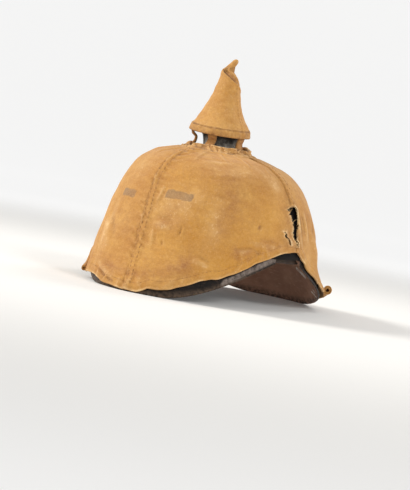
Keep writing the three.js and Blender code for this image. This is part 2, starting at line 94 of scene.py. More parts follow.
# How high the cover's hem hangs over the edge of the leather
HEM_LIFT = table(
    "turn lift",
    (-180, 7), (-110, 4), (-75, -3), (-50, -7), (-44, -5.8), (-36, 1.6), (-29, 5.6), (-24.5, 5.4),
    (-20.5, 4), (-13, 3), (-6, 1.9), (5, 1.4), (7.3, 2.7), (9.5, 4.6), (11.5, 6.3), (15.7, 6.7),
    (20.3, 8), (22.7, 8.7), (27, 11.3), (31, 12.5), (34, 13), (38, 14.3), (40, 14.2), (42, 13.2),
    (44, 11.4), (46, 10.9), (49, 11.6), (54, 10.8), (60, 11.4), (75, 8.5), (89, 8.5), (96, 5.5),
    (103, 3.6), (120, 3.2), (180, 7),
)
SEAM_WANDER = table("z turn", (0, 6.5), (25, 2.5), (50, -0.5), (80, -2.2), (117, -5), (CROWN_Z, -4))
WANDER_REACH = 60
FOLDS = table(
    "turn z across along tilt height",
    (-38, 20, 5, 16, 0.5, 1.6),
    (-58, 36, 7, 12, -0.3, 1.4),
    (-20, 44, 16, 12, 0, 1.6),
    (26, 26, 9, 12, 0.4, 1.8),
    (52, 44, 9, 11, -0.6, 2),
    (112, 62, 6, 26, 0.1, 2.4),
    (137, 12, 16, 12, 0, 3),
    (166, 46, 12, 16, 0.2, 2.2),
    (-150, 50, 12, 18, -0.2, 2),
)
# Sharper creases of the cover, each from one place on its face to another
CREASES = table(
    "turn z end_turn end_z width height",
    (-23.5, 16, -14, 10.6, 1.3, -2.6),
    (-14, 10.6, -6, 8, 1.2, -2),
    (-27, 22, -9, 11.5, 2.2, 1),
    (-38, 62, -22, 35, 5, 1.3),
    (20.5, 67, 20, 57, 1, -1),
    (11.5, 52, 13, 47, 0.9, -1),
    (4, 66, 15, 63, 3.6, 1.1),
    (50.2, 54, 52, 42, 2, -0.7),
    (48, 51, 60, 55.5, 1.6, 1.1),
    (55, 58, 66, 53, 2.6, -0.5),
    (62.8, 79.2, 61.1, 74.6, 1.2, -1.2),
    (90.8, 100, 91.4, 62, 1.3, -1.4),
    (93.5, 99, 94, 60, 2.2, 1.5),
    (98.2, 96, 98.8, 72, 1.2, -1.3),
    (101, 94, 101, 66, 2.4, 1.4),
    (106, 78, 116, 40, 3.4, 1.5),
    (112, 92, 108, 62, 1.8, -1),
    (-3, 132, -6, 119, 1.8, 1.2),
    (-7, 112, -4.5, 98, 1.6, 1),
    (3, 100, 2, 84, 1.5, 1),
    (-4, 76, -3.5, 62, 1.7, 1),
    (5, 60, 7, 44, 1.8, 0.9),
    (18, 136, 14, 125, 1.6, 1),
    (34, 136, 40, 128, 1.6, 0.9),
    (55, 136, 60, 126, 1.8, 1),
    (76, 136, 78, 124, 1.8, 0.9),
    (20, 126, 46, 127, 2.4, 0.8),
    (26, 112, 50, 114, 2.2, -0.6),
    (30, 100, 44, 97, 2, -0.5),
    (-26, 136, -30, 126, 2.2, 1),
    (-60, 136, -52, 126, 2.4, 1),
    (120, 136, 124, 122, 2.2, 1),
    (30, 40, 40, 34, 2.6, 1.1),
    (60, 62, 76, 60, 2.4, 0.9),
    (140, 100, 150, 70, 3, 1.2),
    (-150, 92, -140, 60, 3, 1.2),
    (-75, 100, -84, 66, 3.2, 1.3),
    (-112, 70, -100, 50, 2.6, 1.2),
    (-95, 60, -80, 52, 2.4, 1),
    (168, 84, 160, 50, 3, 1.1),
)
CREASE_TAPER = 0.7
CREASE_VALLEY = 0.55
VALLEY_ASIDE = 1.8
NORMAL_STEP = 0.4


# Curves and the helmet's face
def column_curve(x, y):
    """Smooth curve through points, with no overshoot between them."""
    rise = np.diff(y) / np.diff(x)
    before, after = np.concatenate([rise[:1], rise]), np.concatenate([rise, rise[-1:]])
    same = before * after > 0
    slope = np.where(same, 2 * before * after / np.where(same, before + after, 1), 0)

    def curve(at):
        at = np.asarray(at, float)
        i = np.clip(np.searchsorted(x, at, side="right") - 1, 0, len(rise) - 1)
        span = x[i + 1] - x[i]
        t = np.clip((at - x[i]) / span, 0, 1)
        bow = span * (t * (1 - t) ** 2 * slope[i] + t * t * (t - 1) * slope[i + 1])
        return y[i] + (y[i + 1] - y[i]) * t * t * (3 - 2 * t) + bow

    return curve


def curves(rows, key):
    """A smooth curve for each column of a table, by one of its columns."""
    return {name: column_curve(rows[key], column) for name, column in rows.items()}


section = curves(SECTIONS, "z")
hem_lift = curves(HEM_LIFT, "turn")["lift"]
seam_wander = curves(SEAM_WANDER, "z")["turn"]


def smoothstep(x, low, high):
    t = np.clip((x - low) / (high - low), 0, 1)
    return t * t * (3 - 2 * t)


def window(x, start, full, end, gone):
    """Eases from 0 to 1 between start and full, and back to 0 between end and gone."""
    return smoothstep(x, start, full) * (1 - smoothstep(x, end, gone))


def bell(x, width):
    return np.exp(-((x / width) ** 2))


def wrapped(turn):
    return np.mod(np.asarray(turn, float) + 180, 360) - 180


def signed_power(value, power):
    return np.sign(value) * np.abs(value) ** power


def unit(v):
    return v / np.maximum(np.linalg.norm(v, axis=-1, keepdims=True), 1e-9)


def moved(points, normals, distance):
    """Points moved along their normals."""
    return points + normals * np.asarray(distance)[..., None]


def face_point(turn, z):
    """Points of the cover's smooth outer face, at angles from the front towards the wearer's left."""
    turn, z = np.broadcast_arrays(np.asarray(turn, float), np.asarray(z, float))
    across, forward = np.sin(np.radians(turn)), np.cos(np.radians(turn))
    ahead = forward >= 0
    power = 2 / np.where(ahead, section["front_power"](z), section["rear_power"](z))
    reach = np.where(ahead, section["front"](z), section["rear"](z))
    x = section["half"](z) * signed_power(across, power)
    y = FRAME_Y + section["centre"](z) - reach * signed_power(forward, power)
    return np.stack([x, y, z], -1)


def face_normal(turn, z):
    high, low = np.minimum(z + NORMAL_STEP, CROWN_Z), np.maximum(z - NORMAL_STEP, SECTIONS["z"][0])
    around = face_point(turn + NORMAL_STEP, z) - face_point(turn - NORMAL_STEP, z)
    return unit(np.cross(around, face_point(turn, high) - face_point(turn, low)))


def point_below(turn, z, depth):
    """Points below the face by a depth along its normal."""
    return moved(face_point(turn, z), face_normal(turn, z), -np.asarray(depth))


def point_within(turn, z, depth):
    """Points below the face by a depth, at the same height."""
    normal = face_normal(turn, z) * (1, 1, 0)
    slope = np.linalg.norm(normal, axis=-1, keepdims=True)
    return moved(face_point(turn, z), normal / slope**2, -np.asarray(depth))


def ground_height(y):
    return -math.tan(math.radians(STAND_LEAN)) * y


def rim_climb(turn):
    """How far the leather's edge has climbed: 0 where the visors stand and 1 at the shell's rim."""
    off = np.abs(wrapped(turn))
    front, rear = VISORS["front"], VISORS["rear"]
    climb_front = smoothstep(off, front["level"], front["side"])
    part = np.clip((180 - off - rear["level"]) / (rear["side"] - rear["level"]), 0, 1)
    return np.where(off <= 90, climb_front, part**STRAIGHT_POWER)


def rim_height(turn):
    ground = ground_height(face_point(turn, 0)[..., 1])
    return ground + (RIM_Z - ground) * rim_climb(turn)


def hem_height(turn):
    return rim_height(turn) + hem_lift(wrapped(turn))


def fold_height(turn, z):
    height = 0
    for fold in each_row(FOLDS):
        along = (z - fold["z"]) / fold["along"]
        across = wrapped(turn - fold["turn"]) / fold["across"] - fold["tilt"] * along
        height = height + fold["height"] * bell(np.hypot(along, across), 1)
    return height


def beside_line(points, start, end):
    """How far along a line points lie, from 0 to 1, and the way to them from the line."""
    along = end - start
    part = np.clip((points - start) @ along / (along @ along), 0, 1)
    return part, points - start - part[..., None] * along


def crease_height(points, rows):
    """Height of creases: a ridge along each, with a shallow valley on its lower side."""
    height = np.zeros(points.shape[:-1])
    starts, ends = face_point(rows["turn"], rows["z"]), face_point(rows["end_turn"], rows["end_z"])
    outward = face_normal(rows["turn"], rows["z"])
    for start, end, out, width, high in zip(starts, ends, outward, rows["width"], rows["height"]):
        part, gap = beside_line(points, start, end)
        side = np.sign(gap @ np.cross(out, end - start))
        off = np.linalg.norm(gap, axis=-1) * side / width
        shape = bell(off, 1) - CREASE_VALLEY * bell(off - VALLEY_ASIDE, 1)
        height += high * np.sin(np.pi * part) ** CREASE_TAPER * shape
    return height


def hem_creases(count, seed):
    """Short creases that run up from the hem, here and there."""
    draw = np.random.default_rng(seed)
    turn = np.linspace(-178, 178, count) + draw.uniform(-3, 3, count)
    z = hem_height(turn) - 2
    lean, tall = draw.uniform(-4, 4, count), draw.uniform(7, 17, count)
    width, height = draw.uniform(1.4, 2.8, count), draw.uniform(0.3, 0.9, count)
    ends = {"end_turn": turn + lean, "end_z": z + tall}
    return {"turn": turn, "z": z, "width": width, "height": height, **ends}


def spike_ring(radius, z, turn):
    """Points round the spike's axis."""
    angle = np.radians(turn)
    x, y = radius * np.sin(angle), SPIKE_Y - radius * np.cos(angle)
    return np.stack(np.broadcast_arrays(x, y, np.asarray(z, float)), -1)


def noise_field(points, scale, shift, octaves=2):
    """Smooth noise from about -1 to 1 at points, with features of about scale millimetres."""
    flat = points.reshape(-1, 3) / scale + shift
    values = [noise.fractal(Vector(p), 1.0, 2.0, octaves) for p in flat]
    return np.array(values).reshape(points.shape[:-1])


def arc_lengths(points):
    """Running length along the first axis of a path or a grid of points."""
    steps = np.linalg.norm(np.diff(points, axis=0), axis=-1)
    return np.concatenate([np.zeros((1,) + steps.shape[1:]), np.cumsum(steps, axis=0)])


# Meshes
STAND = np.array(Matrix.Rotation(math.radians(STAND_LEAN), 3, "X"))


def new_mesh(name, points, faces, layers=None, uv=None):
    """An object from points on the helmet's axes. Each layer has a value and uv a pair for each point."""
    mesh = bpy.data.meshes.new(name)
    standing = np.asarray(points, float) @ STAND.T * MM
    mesh.from_pydata(standing.tolist(), [], [list(map(int, face)) for face in faces])
    for key, values in (layers or {}).items():
        layer = mesh.attributes.new(key, "FLOAT", "POINT")
        layer.data.foreach_set("value", np.asarray(values, np.float32))
    if uv is not None:
        layer = mesh.uv_layers.new(name="cloth")
        corners = np.zeros(len(mesh.loops), np.int32)
        mesh.loops.foreach_get("vertex_index", corners)
        layer.data.foreach_set("uv", np.asarray(uv, np.float32)[corners].ravel())
    mesh.polygons.foreach_set("use_smooth", np.ones(len(mesh.polygons), bool))
    mesh.validate()
    obj = bpy.data.objects.new(name, mesh)
    bpy.context.scene.collection.objects.link(obj)
    return obj


def grid_faces(rows, columns, ring):
    """The four corners of each cell in a grid of points that are numbered row by row."""
    index = np.arange(rows * columns).reshape(rows, columns)
    following = np.roll(index, -1, axis=1)
    cells = np.stack([index[:-1], following[:-1], following[1:], index[1:]], -1)
    return cells if ring else cells[:, :-1]


def wall_object(name, outer, inner, ring, layers=None, uv=None):
    """A closed wall between two grids of points. Its layer inside is 1 on the inner face."""
    rows, columns = outer.shape[:2]
    count = rows * columns
    cells = grid_faces(rows, columns, ring)
    a, b, c, d = np.moveaxis(cells, -1, 0)
    edges = [(b[0], a[0]), (d[-1], c[-1])]
    if not ring:
        edges += [(a[:, 0], d[:, 0]), (c[:, -1], b[:, -1])]
    faces = [cells.reshape(-1, 4), cells[..., [1, 0, 3, 2]].reshape(-1, 4) + count]
    faces += [np.stack([first, second, second + count, first + count], -1) for first, second in edges]
    points = np.concatenate([outer.reshape(-1, 3), inner.reshape(-1, 3)])
    both = {key: np.tile(values.ravel(), 2) for key, values in (layers or {}).items()}
    both["inside"] = np.repeat([0.0, 1.0], count)
    pairs = None if uv is None else np.tile(uv.reshape(-1, 2), (2, 1))
    return new_mesh(name, points, np.concatenate(faces), both, pairs)


def sheet_object(name, grid, normals, kept, layers, uv):
    """A ring of cloth from the kept cells of a grid. Its torn edges show the cloth's thickness."""
    rows, columns = grid.shape[:2]
    cells = grid_faces(rows, columns, True)
    a, b, c, d = np.moveaxis(cells, -1, 0)
    gone, no_row = ~kept, np.zeros((1, columns), bool)
    sides = (
        (d, c, np.vstack([gone[1:], no_row])),
        (b, a, np.vstack([no_row, gone[:-1]])),
        (a, d, np.roll(gone, 1, axis=1)),
        (c, b, np.roll(gone, -1, axis=1)),
    )
    edges = np.concatenate([np.stack([first, second], -1)[kept & torn] for first, second, torn in sides])
    lips, order = np.unique(edges, return_inverse=True)
    back = order.reshape(edges.shape) + rows * columns
    lip_faces = np.stack([edges[:, 1], edges[:, 0], back[:, 0], back[:, 1]], -1)
    used, corners = np.unique(np.concatenate([cells[kept], lip_faces]), return_inverse=True)
    flat = grid.reshape(-1, 3)
    points = np.concatenate([flat, flat[lips] - normals.reshape(-1, 3)[lips] * CLOTH])[used]

    def with_lips(values):
        return np.concatenate([values, values[lips]])[used]

    values = {key: with_lips(layer.ravel()) for key, layer in layers.items()}
    return new_mesh(name, points, corners.reshape(-1, 4), values, with_lips(uv.reshape(-1, 2)))


def grid_normals(points, ring):
    """Unit normals of a grid of rows by columns, pointing out of its face."""
    if ring:
        around = np.roll(points, -1, axis=1) - np.roll(points, 1, axis=1)
    else:
        around = np.gradient(points, axis=1)
    return unit(np.cross(around, np.gradient(points, axis=0)))


def on_grid(grid, row, column):
    """Values of a ring-shaped grid at fractional rows and columns."""
    rows, columns = grid.shape[:2]
    r = np.clip(np.floor(row).astype(int), 0, rows - 2)
    c = np.floor(column).astype(int)
    up, on = (row - r)[..., None], (column - c)[..., None]
    here, following = c % columns, (c + 1) % columns
    low = grid[r, here] * (1 - on) + grid[r, following] * on
    high = grid[r + 1, here] * (1 - on) + grid[r + 1, following] * on
    return low * (1 - up) + high * up


def rows_at(run, length):
    """Fractional row at which each column of running lengths reaches a length."""
    return np.array([np.interp(length, column, np.arange(len(run))) for column in run.T])


def finish_piece(obj, material, slot, *nodes):
    obj.data.materials.append(material)
    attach(obj, "root")
    if nodes:
        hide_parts(*nodes)
    return obj


# Threads
STITCH_SIDES = 6
STITCH_RINGS = 5
STITCH_SUNK = 0.12
SEAM_THREAD = {"pitch": 4.4, "length": 3, "radius": 0.34, "rise": 0.2}
HEM_THREAD = {"pitch": 3.8, "length": 2.4, "radius": 0.24, "rise": 0.12}
CONE_THREAD = {"pitch": 2.9, "length": 2.2, "radius": 0.28, "rise": 0.24}
CONE_SEAM_THREAD = {"pitch": 2.9, "length": 2.2, "radius": 0.24, "rise": 0.18}


class Threads:
    """Collects many short tubes of thread for one mesh."""

    def __init__(self):
        self.points, self.faces, self.count = [], [], 0
        self.draw = np.random.default_rng(17)

    def add(self, centres, radii, lift):
        """A closed tube through centres."""
        along = unit(np.gradient(centres, axis=0))
        side = unit(np.cross(along, lift))
        angle = np.linspace(0, 2 * np.pi, STITCH_SIDES, endpoint=False)[:, None, None]
        around = np.cos(angle) * side + np.sin(angle) * np.cross(side, along)
        points = (centres + around * radii[:, None]).transpose(1, 0, 2).reshape(-1, 3)
        first = np.arange(STITCH_SIDES)
        faces = grid_faces(len(centres), STITCH_SIDES, True).reshape(-1, 4) + self.count
        ends = (first[::-1] + self.count, first + self.count + len(points) - STITCH_SIDES)
        self.faces += [*faces.tolist(), *(end.tolist() for end in ends)]
        self.points.append(points)
        self.count += len(points)

    def sew(self, grid, normals, row, column, stitch):
        """Stitches along a line of rows and columns on a cloth's face."""
        path, lift = on_grid(grid, row, column), unit(on_grid(normals, row, column))
        pitch, length, radius, rise = stitch.values()
        run = arc_lengths(path)
        part = np.linspace(-1, 1, STITCH_RINGS)
        for start in np.arange(pitch / 2, run[-1] - pitch / 2, pitch):
            uneven = self.draw.uniform(0.72, 1.12)
            at = start + self.draw.normal(0, 0.12) * pitch + part * uneven * length / 2
            centres = np.stack([np.interp(at, run, path[:, k]) for k in range(3)], -1)
            up = unit(np.stack([np.interp(at, run, lift[:, k]) for k in range(3)], -1))
            centres = moved(centres, up, rise * uneven * (1 - part**2) - STITCH_SUNK)
            self.add(centres, radius * uneven * np.sqrt(1.05 - part**2), up)

    def object(self, name):
        return new_mesh(name, np.concatenate(self.points), self.faces)


# Materials. Colours are given as display values from 0 to 255.
WEAVE_PITCH = 0.9
# Offset of the layer paint, which is larger inside the painted bars and 0 far from them
PAINT_FAR = 20


def srgb(red, green, blue):
    """Colour in the render's linear space."""
    parts = np.array([red, green, blue]) / 255
    linear = np.where(parts <= 0.04045, parts / 12.92, ((parts + 0.055) / 1.055) ** 2.4)
    return (*linear.tolist(), 1.0)


class Nodes:
    """Short ways to add nodes to one material."""

    def __init__(self, name):
        self.material = bpy.data.materials.new(name)
        self.material.use_nodes = True
        self.tree = self.material.node_tree
        self.place = self.add("ShaderNodeTexCoord").outputs["Object"]

    def set(self, socket, value):
        if isinstance(value, bpy.types.NodeSocket):
            self.tree.links.new(value, socket)
        else:
            socket.default_value = value

    def fill(self, node, inputs):
        for key, value in inputs.items():
            self.set(node.inputs[key.replace("_", " ")], value)

    def add(self, kind, settings=None, **inputs):
        node = self.tree.nodes.new(kind)
        for key, value in (settings or {}).items():
            setattr(node, key, value)
        self.fill(node, inputs)
        return node

    def finish(self, **inputs):
        self.fill(self.tree.nodes["Principled BSDF"], inputs)
        return self.material

    def layer(self, name):
        return self.add("ShaderNodeAttribute", {"attribute_name": name}).outputs["Fac"]

    def noise(self, size, detail=4, roughness=0.55, vector=None, stretch=None):
        """Noise with features of about size millimetres."""
        place = vector or self.place
        if stretch:
            place = self.add("ShaderNodeMapping", Vector=place, Scale=stretch).outputs["Vector"]
        scale = 1 / (size * MM)
        node = self.add("ShaderNodeTexNoise", Vector=place, Scale=scale, Detail=detail, Roughness=roughness)
        return node.outputs["Fac"]

    def span(self, value, low, high, to=(0.0, 1.0)):
        """A value that eases from one end of to at low to the other at high."""
        ends = {"From_Min": low, "From_Max": high, "To_Min": to[0], "To_Max": to[1]}
        node = self.add("ShaderNodeMapRange", {"interpolation_type": "SMOOTHSTEP"}, Value=value, **ends)
        return node.outputs["Result"]

    def blots(self, size, low, high, detail=4, roughness=0.55, to=(0.0, 1.0)):
        return self.span(self.noise(size, detail, roughness), low, high, to)

    def cracks(self, size):
        settings = {"feature": "DISTANCE_TO_EDGE"}
        node = self.add("ShaderNodeTexVoronoi", settings, Vector=self.place, Scale=1 / (size * MM))
        return node.outputs["Distance"]

    def math(self, operation, first, second, clamp=False):
        node = self.add("ShaderNodeMath", {"operation": operation, "use_clamp": clamp})
        self.set(node.inputs[0], first)
        self.set(node.inputs[1], second)
        return node.outputs[0]

    def times(self, first, second):
        return self.math("MULTIPLY", first, second)

    def mix(self, factor, first, second):
        node = self.add("ShaderNodeMix", {"data_type": "RGBA", "clamp_factor": True})
        self.set(node.inputs[0], factor)
        self.set(node.inputs[6], first)
        self.set(node.inputs[7], second)
        return node.outputs[2]

    def tint(self, colour, *tints):
        """A colour tinted in turn: each row gives a mask, its strength and the tint."""
        for mask, strength, tint in tints:
            colour = self.mix(self.times(mask, strength), colour, srgb(*tint))
        return colour

    def bump(self, *bumps):
        """A normal from bumps in turn: each row gives a height, its distance and its strength."""
        inputs = {}
        for height, distance, strength in bumps:
            inputs |= {"Height": height, "Distance": distance * MM, "Strength": strength}
            inputs = {"Normal": self.add("ShaderNodeBump", **inputs).outputs["Normal"]}
        return inputs["Normal"]


def canvas_material(name, dark=0.0):
    """Unbleached ochre canvas, woven, mottled, faded and stained, with painted shade and painted highlights
    carried in its layers.
    """
    n = Nodes(name)
    cloth = n.add("ShaderNodeUVMap", {"uv_map": "cloth"}).outputs["UV"]
    middle = n.blots(15, 0.36, 0.66, 4, 0.6)
    streak = n.span(n.noise(5, 3, 0.55, cloth, (0.25, 1, 1)), 0.38, 0.66)
    fade_and_highlight = n.times(n.layer("fade_and_highlight"), n.blots(9, 0.3, 0.7, to=(0.35, 1)))
    stain_and_shade = n.times(n.layer("stain_and_shade"), n.blots(6, 0.32, 0.68, 5, 0.65, (0.25, 1)))
    grime_and_shade = n.times(n.layer("grime_and_shade"), n.blots(4, 0.3, 0.7, 4, 0.6, (0.3, 1)))
    worn_specks = n.times(n.blots(2.2, 0.56, 0.68, 3), n.math("ADD", fade_and_highlight, 0.15))
    within_bars = n.math("SUBTRACT", n.layer("paint"), PAINT_FAR)
    ragged = n.math("ADD", within_bars, n.blots(8, 0.25, 0.75, 4, 0.6, (-1.6, 1)))
    colour = n.tint(
        n.mix(n.blots(46, 0.36, 0.64, 3), srgb(180, 124, 51), srgb(206, 155, 80)),
        (middle, 0.6, (180, 122, 55)),
        (n.blots(80, 0.45, 0.7, 2), 0.6, (202, 144, 56)),
        (n.blots(7, 0.36, 0.66, 4, 0.6), 0.4, (170, 115, 55)),
        (streak, 0.34, (211, 160, 84)),
        (n.blots(2.6, 0.3, 0.7, 4, 0.65), 0.36, (158, 106, 51)),
        (n.layer("gold"), 0.5, (196, 137, 42)),
        # Rows below: paler where faded and with painted highlight on ridges, darker with stains, dirt and
        # painted shade in hollows.
        (fade_and_highlight, 0.7, (214, 170, 112)),
        (n.span(fade_and_highlight, 1, 2.4), 1, (240, 210, 156)),
        (stain_and_shade, 0.75, (150, 96, 58)),
        (grime_and_shade, 0.62, (104, 66, 36)),
        (worn_specks, 0.6, (228, 190, 138)),
        (n.blots(1.6, 0.7, 0.78, 2), 0.4, (122, 80, 44)),
        (n.span(ragged, -0.9, 0.9), n.blots(20, 0.3, 0.7, 4, 0.5, (0.55, 0.85)), (128, 103, 80)),
    )
    colour = n.mix(dark, colour, srgb(136, 90, 50))
    slubs = [n.noise(WEAVE_PITCH, 3, 0.6, cloth, stretch) for stretch in ((0.35, 1, 1), (1, 0.35, 1))]
    thread = n.math("ADD", *slubs)
    colour = n.mix(n.span(thread, 0.8, 1.25, (0, 0.22)), colour, srgb(216, 170, 112))
    bands = []
    for direction in "XY":
        settings = {"bands_direction": direction}
        wave = n.add("ShaderNodeTexWave", settings, Vector=cloth, Scale=1 / (WEAVE_PITCH * MM * math.tau))
        bands.append(wave.outputs["Fac"])
    return n.finish(
        Base_Color=colour,
        Roughness=n.span(middle, 0, 1, (0.86, 0.96)),
        Normal=n.bump((n.noise(11, 4, 0.6), 0.9, 0.6), (thread, 0.3, 0.5), (n.times(*bands), 0.15, 0.4)),
        Sheen_Weight=0.12,
        Sheen_Roughness=0.6,
        Specular_IOR_Level=0.22,
    )


def thread_material(name, light, shade):
    n = Nodes(name)
    colour = n.mix(n.blots(5, 0.35, 0.65, 3), srgb(*light), srgb(*shade))
    return n.finish(Base_Color=colour, Roughness=0.9, Normal=n.bump((n.noise(0.4, 3), 0.1, 0.5)))


def leather_material(name, face, cloud, edge, rim, sheen_and_scratch_colour, roughness, crack, gloss, lining=None):
    """Lacquered leather with fine crackle, scuffs and worn edges, and marks from a layer: a painted sheen on
    the front visor, pale scratches on the rear visor's lining. lining holds the inner face's colours.
    """
    n = Nodes(name)
    cloudy = n.blots(22, 0.35, 0.65, 4, 0.6)
    scuffs = n.span(n.noise(5, 5, 0.7, stretch=(1, 1, 2.6)), 0.52, 0.7)
    crackle = n.times(n.span(n.cracks(crack), 0.0, 0.05, (1, 0)), n.blots(14, 0.45, 0.6, 3))
    colour = n.mix(cloudy, srgb(*face), srgb(*cloud))
    colour = n.tint(colour, (scuffs, 0.65, edge), (crackle, 0.5, edge))
    if lining:
        bare, pale, worn = lining
        within = n.tint(n.mix(cloudy, srgb(*bare), srgb(*pale)), (scuffs, 0.65, worn))
        colour = n.mix(n.layer("inside"), colour, within)
    wear = n.times(n.layer("wear"), n.blots(3, 0.35, 0.6, 4, 0.65, (0.25, 1)))
    patchy = n.blots(4, 0.3, 0.65, 5, 0.7, (0.25, 1))
    # Worn rims, then a painted sheen on the front visor and pale scratches on the rear visor's lining.
    colour = n.tint(colour, (wear, 0.85, rim), (n.span(n.layer("sheen_and_scratch"), 0.1, 0.7), patchy, sheen_and_scratch_colour))
    rough = n.blots(9, 0.3, 0.7, 5, 0.6, (roughness - 0.1, roughness + 0.14))
    return n.finish(
        Base_Color=colour,
        Roughness=n.math("ADD", rough, n.times(scuffs, 0.2), True),
        Normal=n.bump((n.noise(16, 3), 0.5, 0.35), (n.noise(0.9, 4, 0.6), 0.12, 0.5), (crackle, 0.12, -0.6)),
        Specular_IOR_Level=gloss,
    )


def metal_material():
    """Dark patinated sheet metal, darkened up the neck by painted shade under the spike's cover."""
    n = Nodes("dark_metal")
    colour = n.mix(n.blots(7, 0.4, 0.62, 5, 0.65), srgb(198, 193, 182), srgb(110, 105, 97))
    return n.finish(
        Base_Color=n.tint(colour, (n.layer("painted_shade"), 0.9, (22, 19, 17))),
        Metallic=0.55,
        Roughness=n.blots(4, 0.3, 0.7, 5, 0.6, (0.34, 0.54)),
        Normal=n.bump((n.noise(5, 4, 0.55), 0.12, 0.3)),
    )


# A painted sheen: the colour of the highlight along the front visor.
PAINTED_SHEEN = (134, 121, 112)
BARE_GRAIN = (255, 248, 240)
# The lining's colours are painted lighter than the leather's own, standing in for light in the helmet's
# shade.
NAPE_LINING = ((168, 126, 104), (188, 145, 121), (206, 172, 146))
LACQUER = ((15, 11, 9), (27, 21, 17), (70, 53, 41))
canvas = canvas_material("canvas")
tab_canvas = canvas_material("tab_canvas", 0.3)
stitch_thread = thread_material("stitch_thread", (176, 127, 73), (146, 102, 57))
pale_thread = thread_material("pale_thread", (186, 134, 74), (152, 106, 58))
frayed_thread = thread_material("frayed_thread", (238, 206, 152), (204, 160, 100))
# Colours of the face, its clouds, its cracks, its rim and its painted sheen and scratches, then roughness,
# crackle and gloss
LEATHERS = {
    "black_leather": ((8, 7, 7), (14, 12, 11), (44, 37, 32), (30, 25, 22), PAINTED_SHEEN, 0.5, 5, 0.08),
    "visor_leather": (*LACQUER, (94, 77, 62), PAINTED_SHEEN, 0.36, 4, 0.12),
    "nape_leather": (*LACQUER, (38, 29, 25), BARE_GRAIN, 0.46, 4, 0.28, NAPE_LINING),
    "band_leather": ((54, 43, 36), (70, 58, 49), (104, 90, 77), (80, 67, 56), PAINTED_SHEEN, 0.6, 3, 0.2),
}
leathers = {name: leather_material(name, *looks) for name, looks in LEATHERS.items()}

# The crown cover: one sheet of cloth, turned in at the hem and at the collar.
# Its columns run up from the hem, close together beside the seams and the tear.
COVER_COLUMNS = 490
HEM_TURNED_IN = np.linspace(11, 0.6, 6)
HEM_BEND = table("share sink", (0.12, 0.25), (0.5, 0.5), (0.88, 0.25))
HEM_ROWS = 62
DOME_ROWS = 96
COLLAR_ROWS = 20
COLLAR_TURNED_IN = np.linspace(4, 1.4, 6)
COLLAR_STITCHES = (1.75, 3.2)
SEAM_TURNS = (-180, -90, 0, 90)
SEAM_RISE = 0.8
SEAM_HALF = 3.8
SEAM_STITCH = 2.4
HEM_RISE = 0.6
HEM_BAND = 8.6
HEM_STITCH = 7.4
CREASE_DEPTH = 1.3
PANEL_STRETCH = 300
COLLAR_WAVE = 0.2
COLLAR_SLOPE = 1
TEAR_TURN = 83
TEAR_SEAM = 90
FAR_FROM_TEAR = 40.0
TEAR_BLEND = 9
SIDE_DEGREE = 1.6
# Edges of the tear and of the slit beside it, as distances ahead of the side seam
TEAR_ROWS = table(
    "z back front",
    (62.6, 2.6, 3.4), (67.4, 2.4, 3.8), (69.4, 3, 6.4), (73.5, 0.6, 9), (80.8, -0.6, 7.8), (84, -0.6, 9.6),
    (90, -0.4, 10.6), (93.6, 0, 11.6), (95.6, 0.6, 14.4), (97.2, 1.2, 11.4), (98.6, 2, 5.4),
)
SLIT_ROWS = table("z back front", (64.5, 11.4, 13), (68.5, 13.4, 16.6), (72.5, 17, 20.6), (75.6, 19.6, 21.6))
# Columns that follow the edges of the slit and of the tear, and the columns where they are back in place
PINS = np.array([75, 80.2, 81.2, 84.8, 89.2, 93.6])
TEARS = ((SLIT_ROWS, 1, 5), (TEAR_ROWS, 3, 8))
COLLAR = table(
    "step radius z inside_radius inside_z",
    (0, 38, CROWN_Z, 38.2, 134.7),
    (1, 34.6, 137, 34.2, 135.7),
    (2, 31.2, 138, 30.2, 136.6),
    (3, 29.5, 139.4, 27.7, 138.6),
    (4, 29, 141.2, 27, 141.2),
)
# How the collar's edge sways: the middle of each stretch, its rise and its half width
COLLAR_SWAYS = table(
    "turn rise width",
    (-76, 1.8, 15), (-35, -2.8, 13), (-4, 0.6, 9), (52, -0.8, 14), (110, -1.2, 18), (160, 0.8, 20),
    (-130, -1, 16),
)
collar = curves(COLLAR, "step")


def off_seam(turn):
    """Angle from the nearest of the four seams."""
    return wrapped(4 * turn) / 4


def cover_columns():
    fine = np.linspace(-180, 180, 7201)
    weight = 0.7 + 2 * bell(off_seam(fine), 3.2) + 1.8 * bell(fine - TEAR_TURN, 6)
    weight = weight + 0.8 * bell(fine - 25, 60) + 0.7 * bell(fine + 16, 12)
    total = np.concatenate([[0], np.cumsum((weight[1:] + weight[:-1]) / 2)])
    return np.interp(np.arange(COVER_COLUMNS) / COVER_COLUMNS * total[-1], total, fine)


def cover_turn(turn, z):
    """Angles moved along with the wandering front seam."""
    near = 1 - smoothstep(np.abs(wrapped(turn)), 0, WANDER_REACH)
    return turn + seam_wander(z) * near


def turn_ahead(distance, z):
    """Angle of the point of the left side that lies a distance ahead of the side seam's middle."""
    part = (section["centre"](z) + distance) / section["front"](z)
    return 90 - np.degrees(np.arcsin(part))


def tear_edges(rows, z, seed):
    """Ragged angles of a tear's front and back edge at each height."""
    draw = np.random.default_rng(seed)
    front = np.interp(z, rows["z"], rows["front"]) + draw.normal(0, 0.8, len(z))
    back = np.interp(z, rows["z"], rows["back"]) + draw.normal(0, 0.4, len(z))
    return turn_ahead(front, z), turn_ahead(np.minimum(back, front - 0.3), z)


def beyond_tear(rows, z):
    """How far heights lie above or below a tear, negative between its ends."""
    return np.maximum(rows["z"][0] - z, z - rows["z"][-1])


def dome_heights():
    """Heights of the dome's rows, evenly spread along its profile."""
    z = np.linspace(DOME_Z, CROWN_Z, 400)
    run = arc_lengths(face_point(45.0, z))
    return np.interp(np.linspace(0, run[-1], DOME_ROWS), run, z)


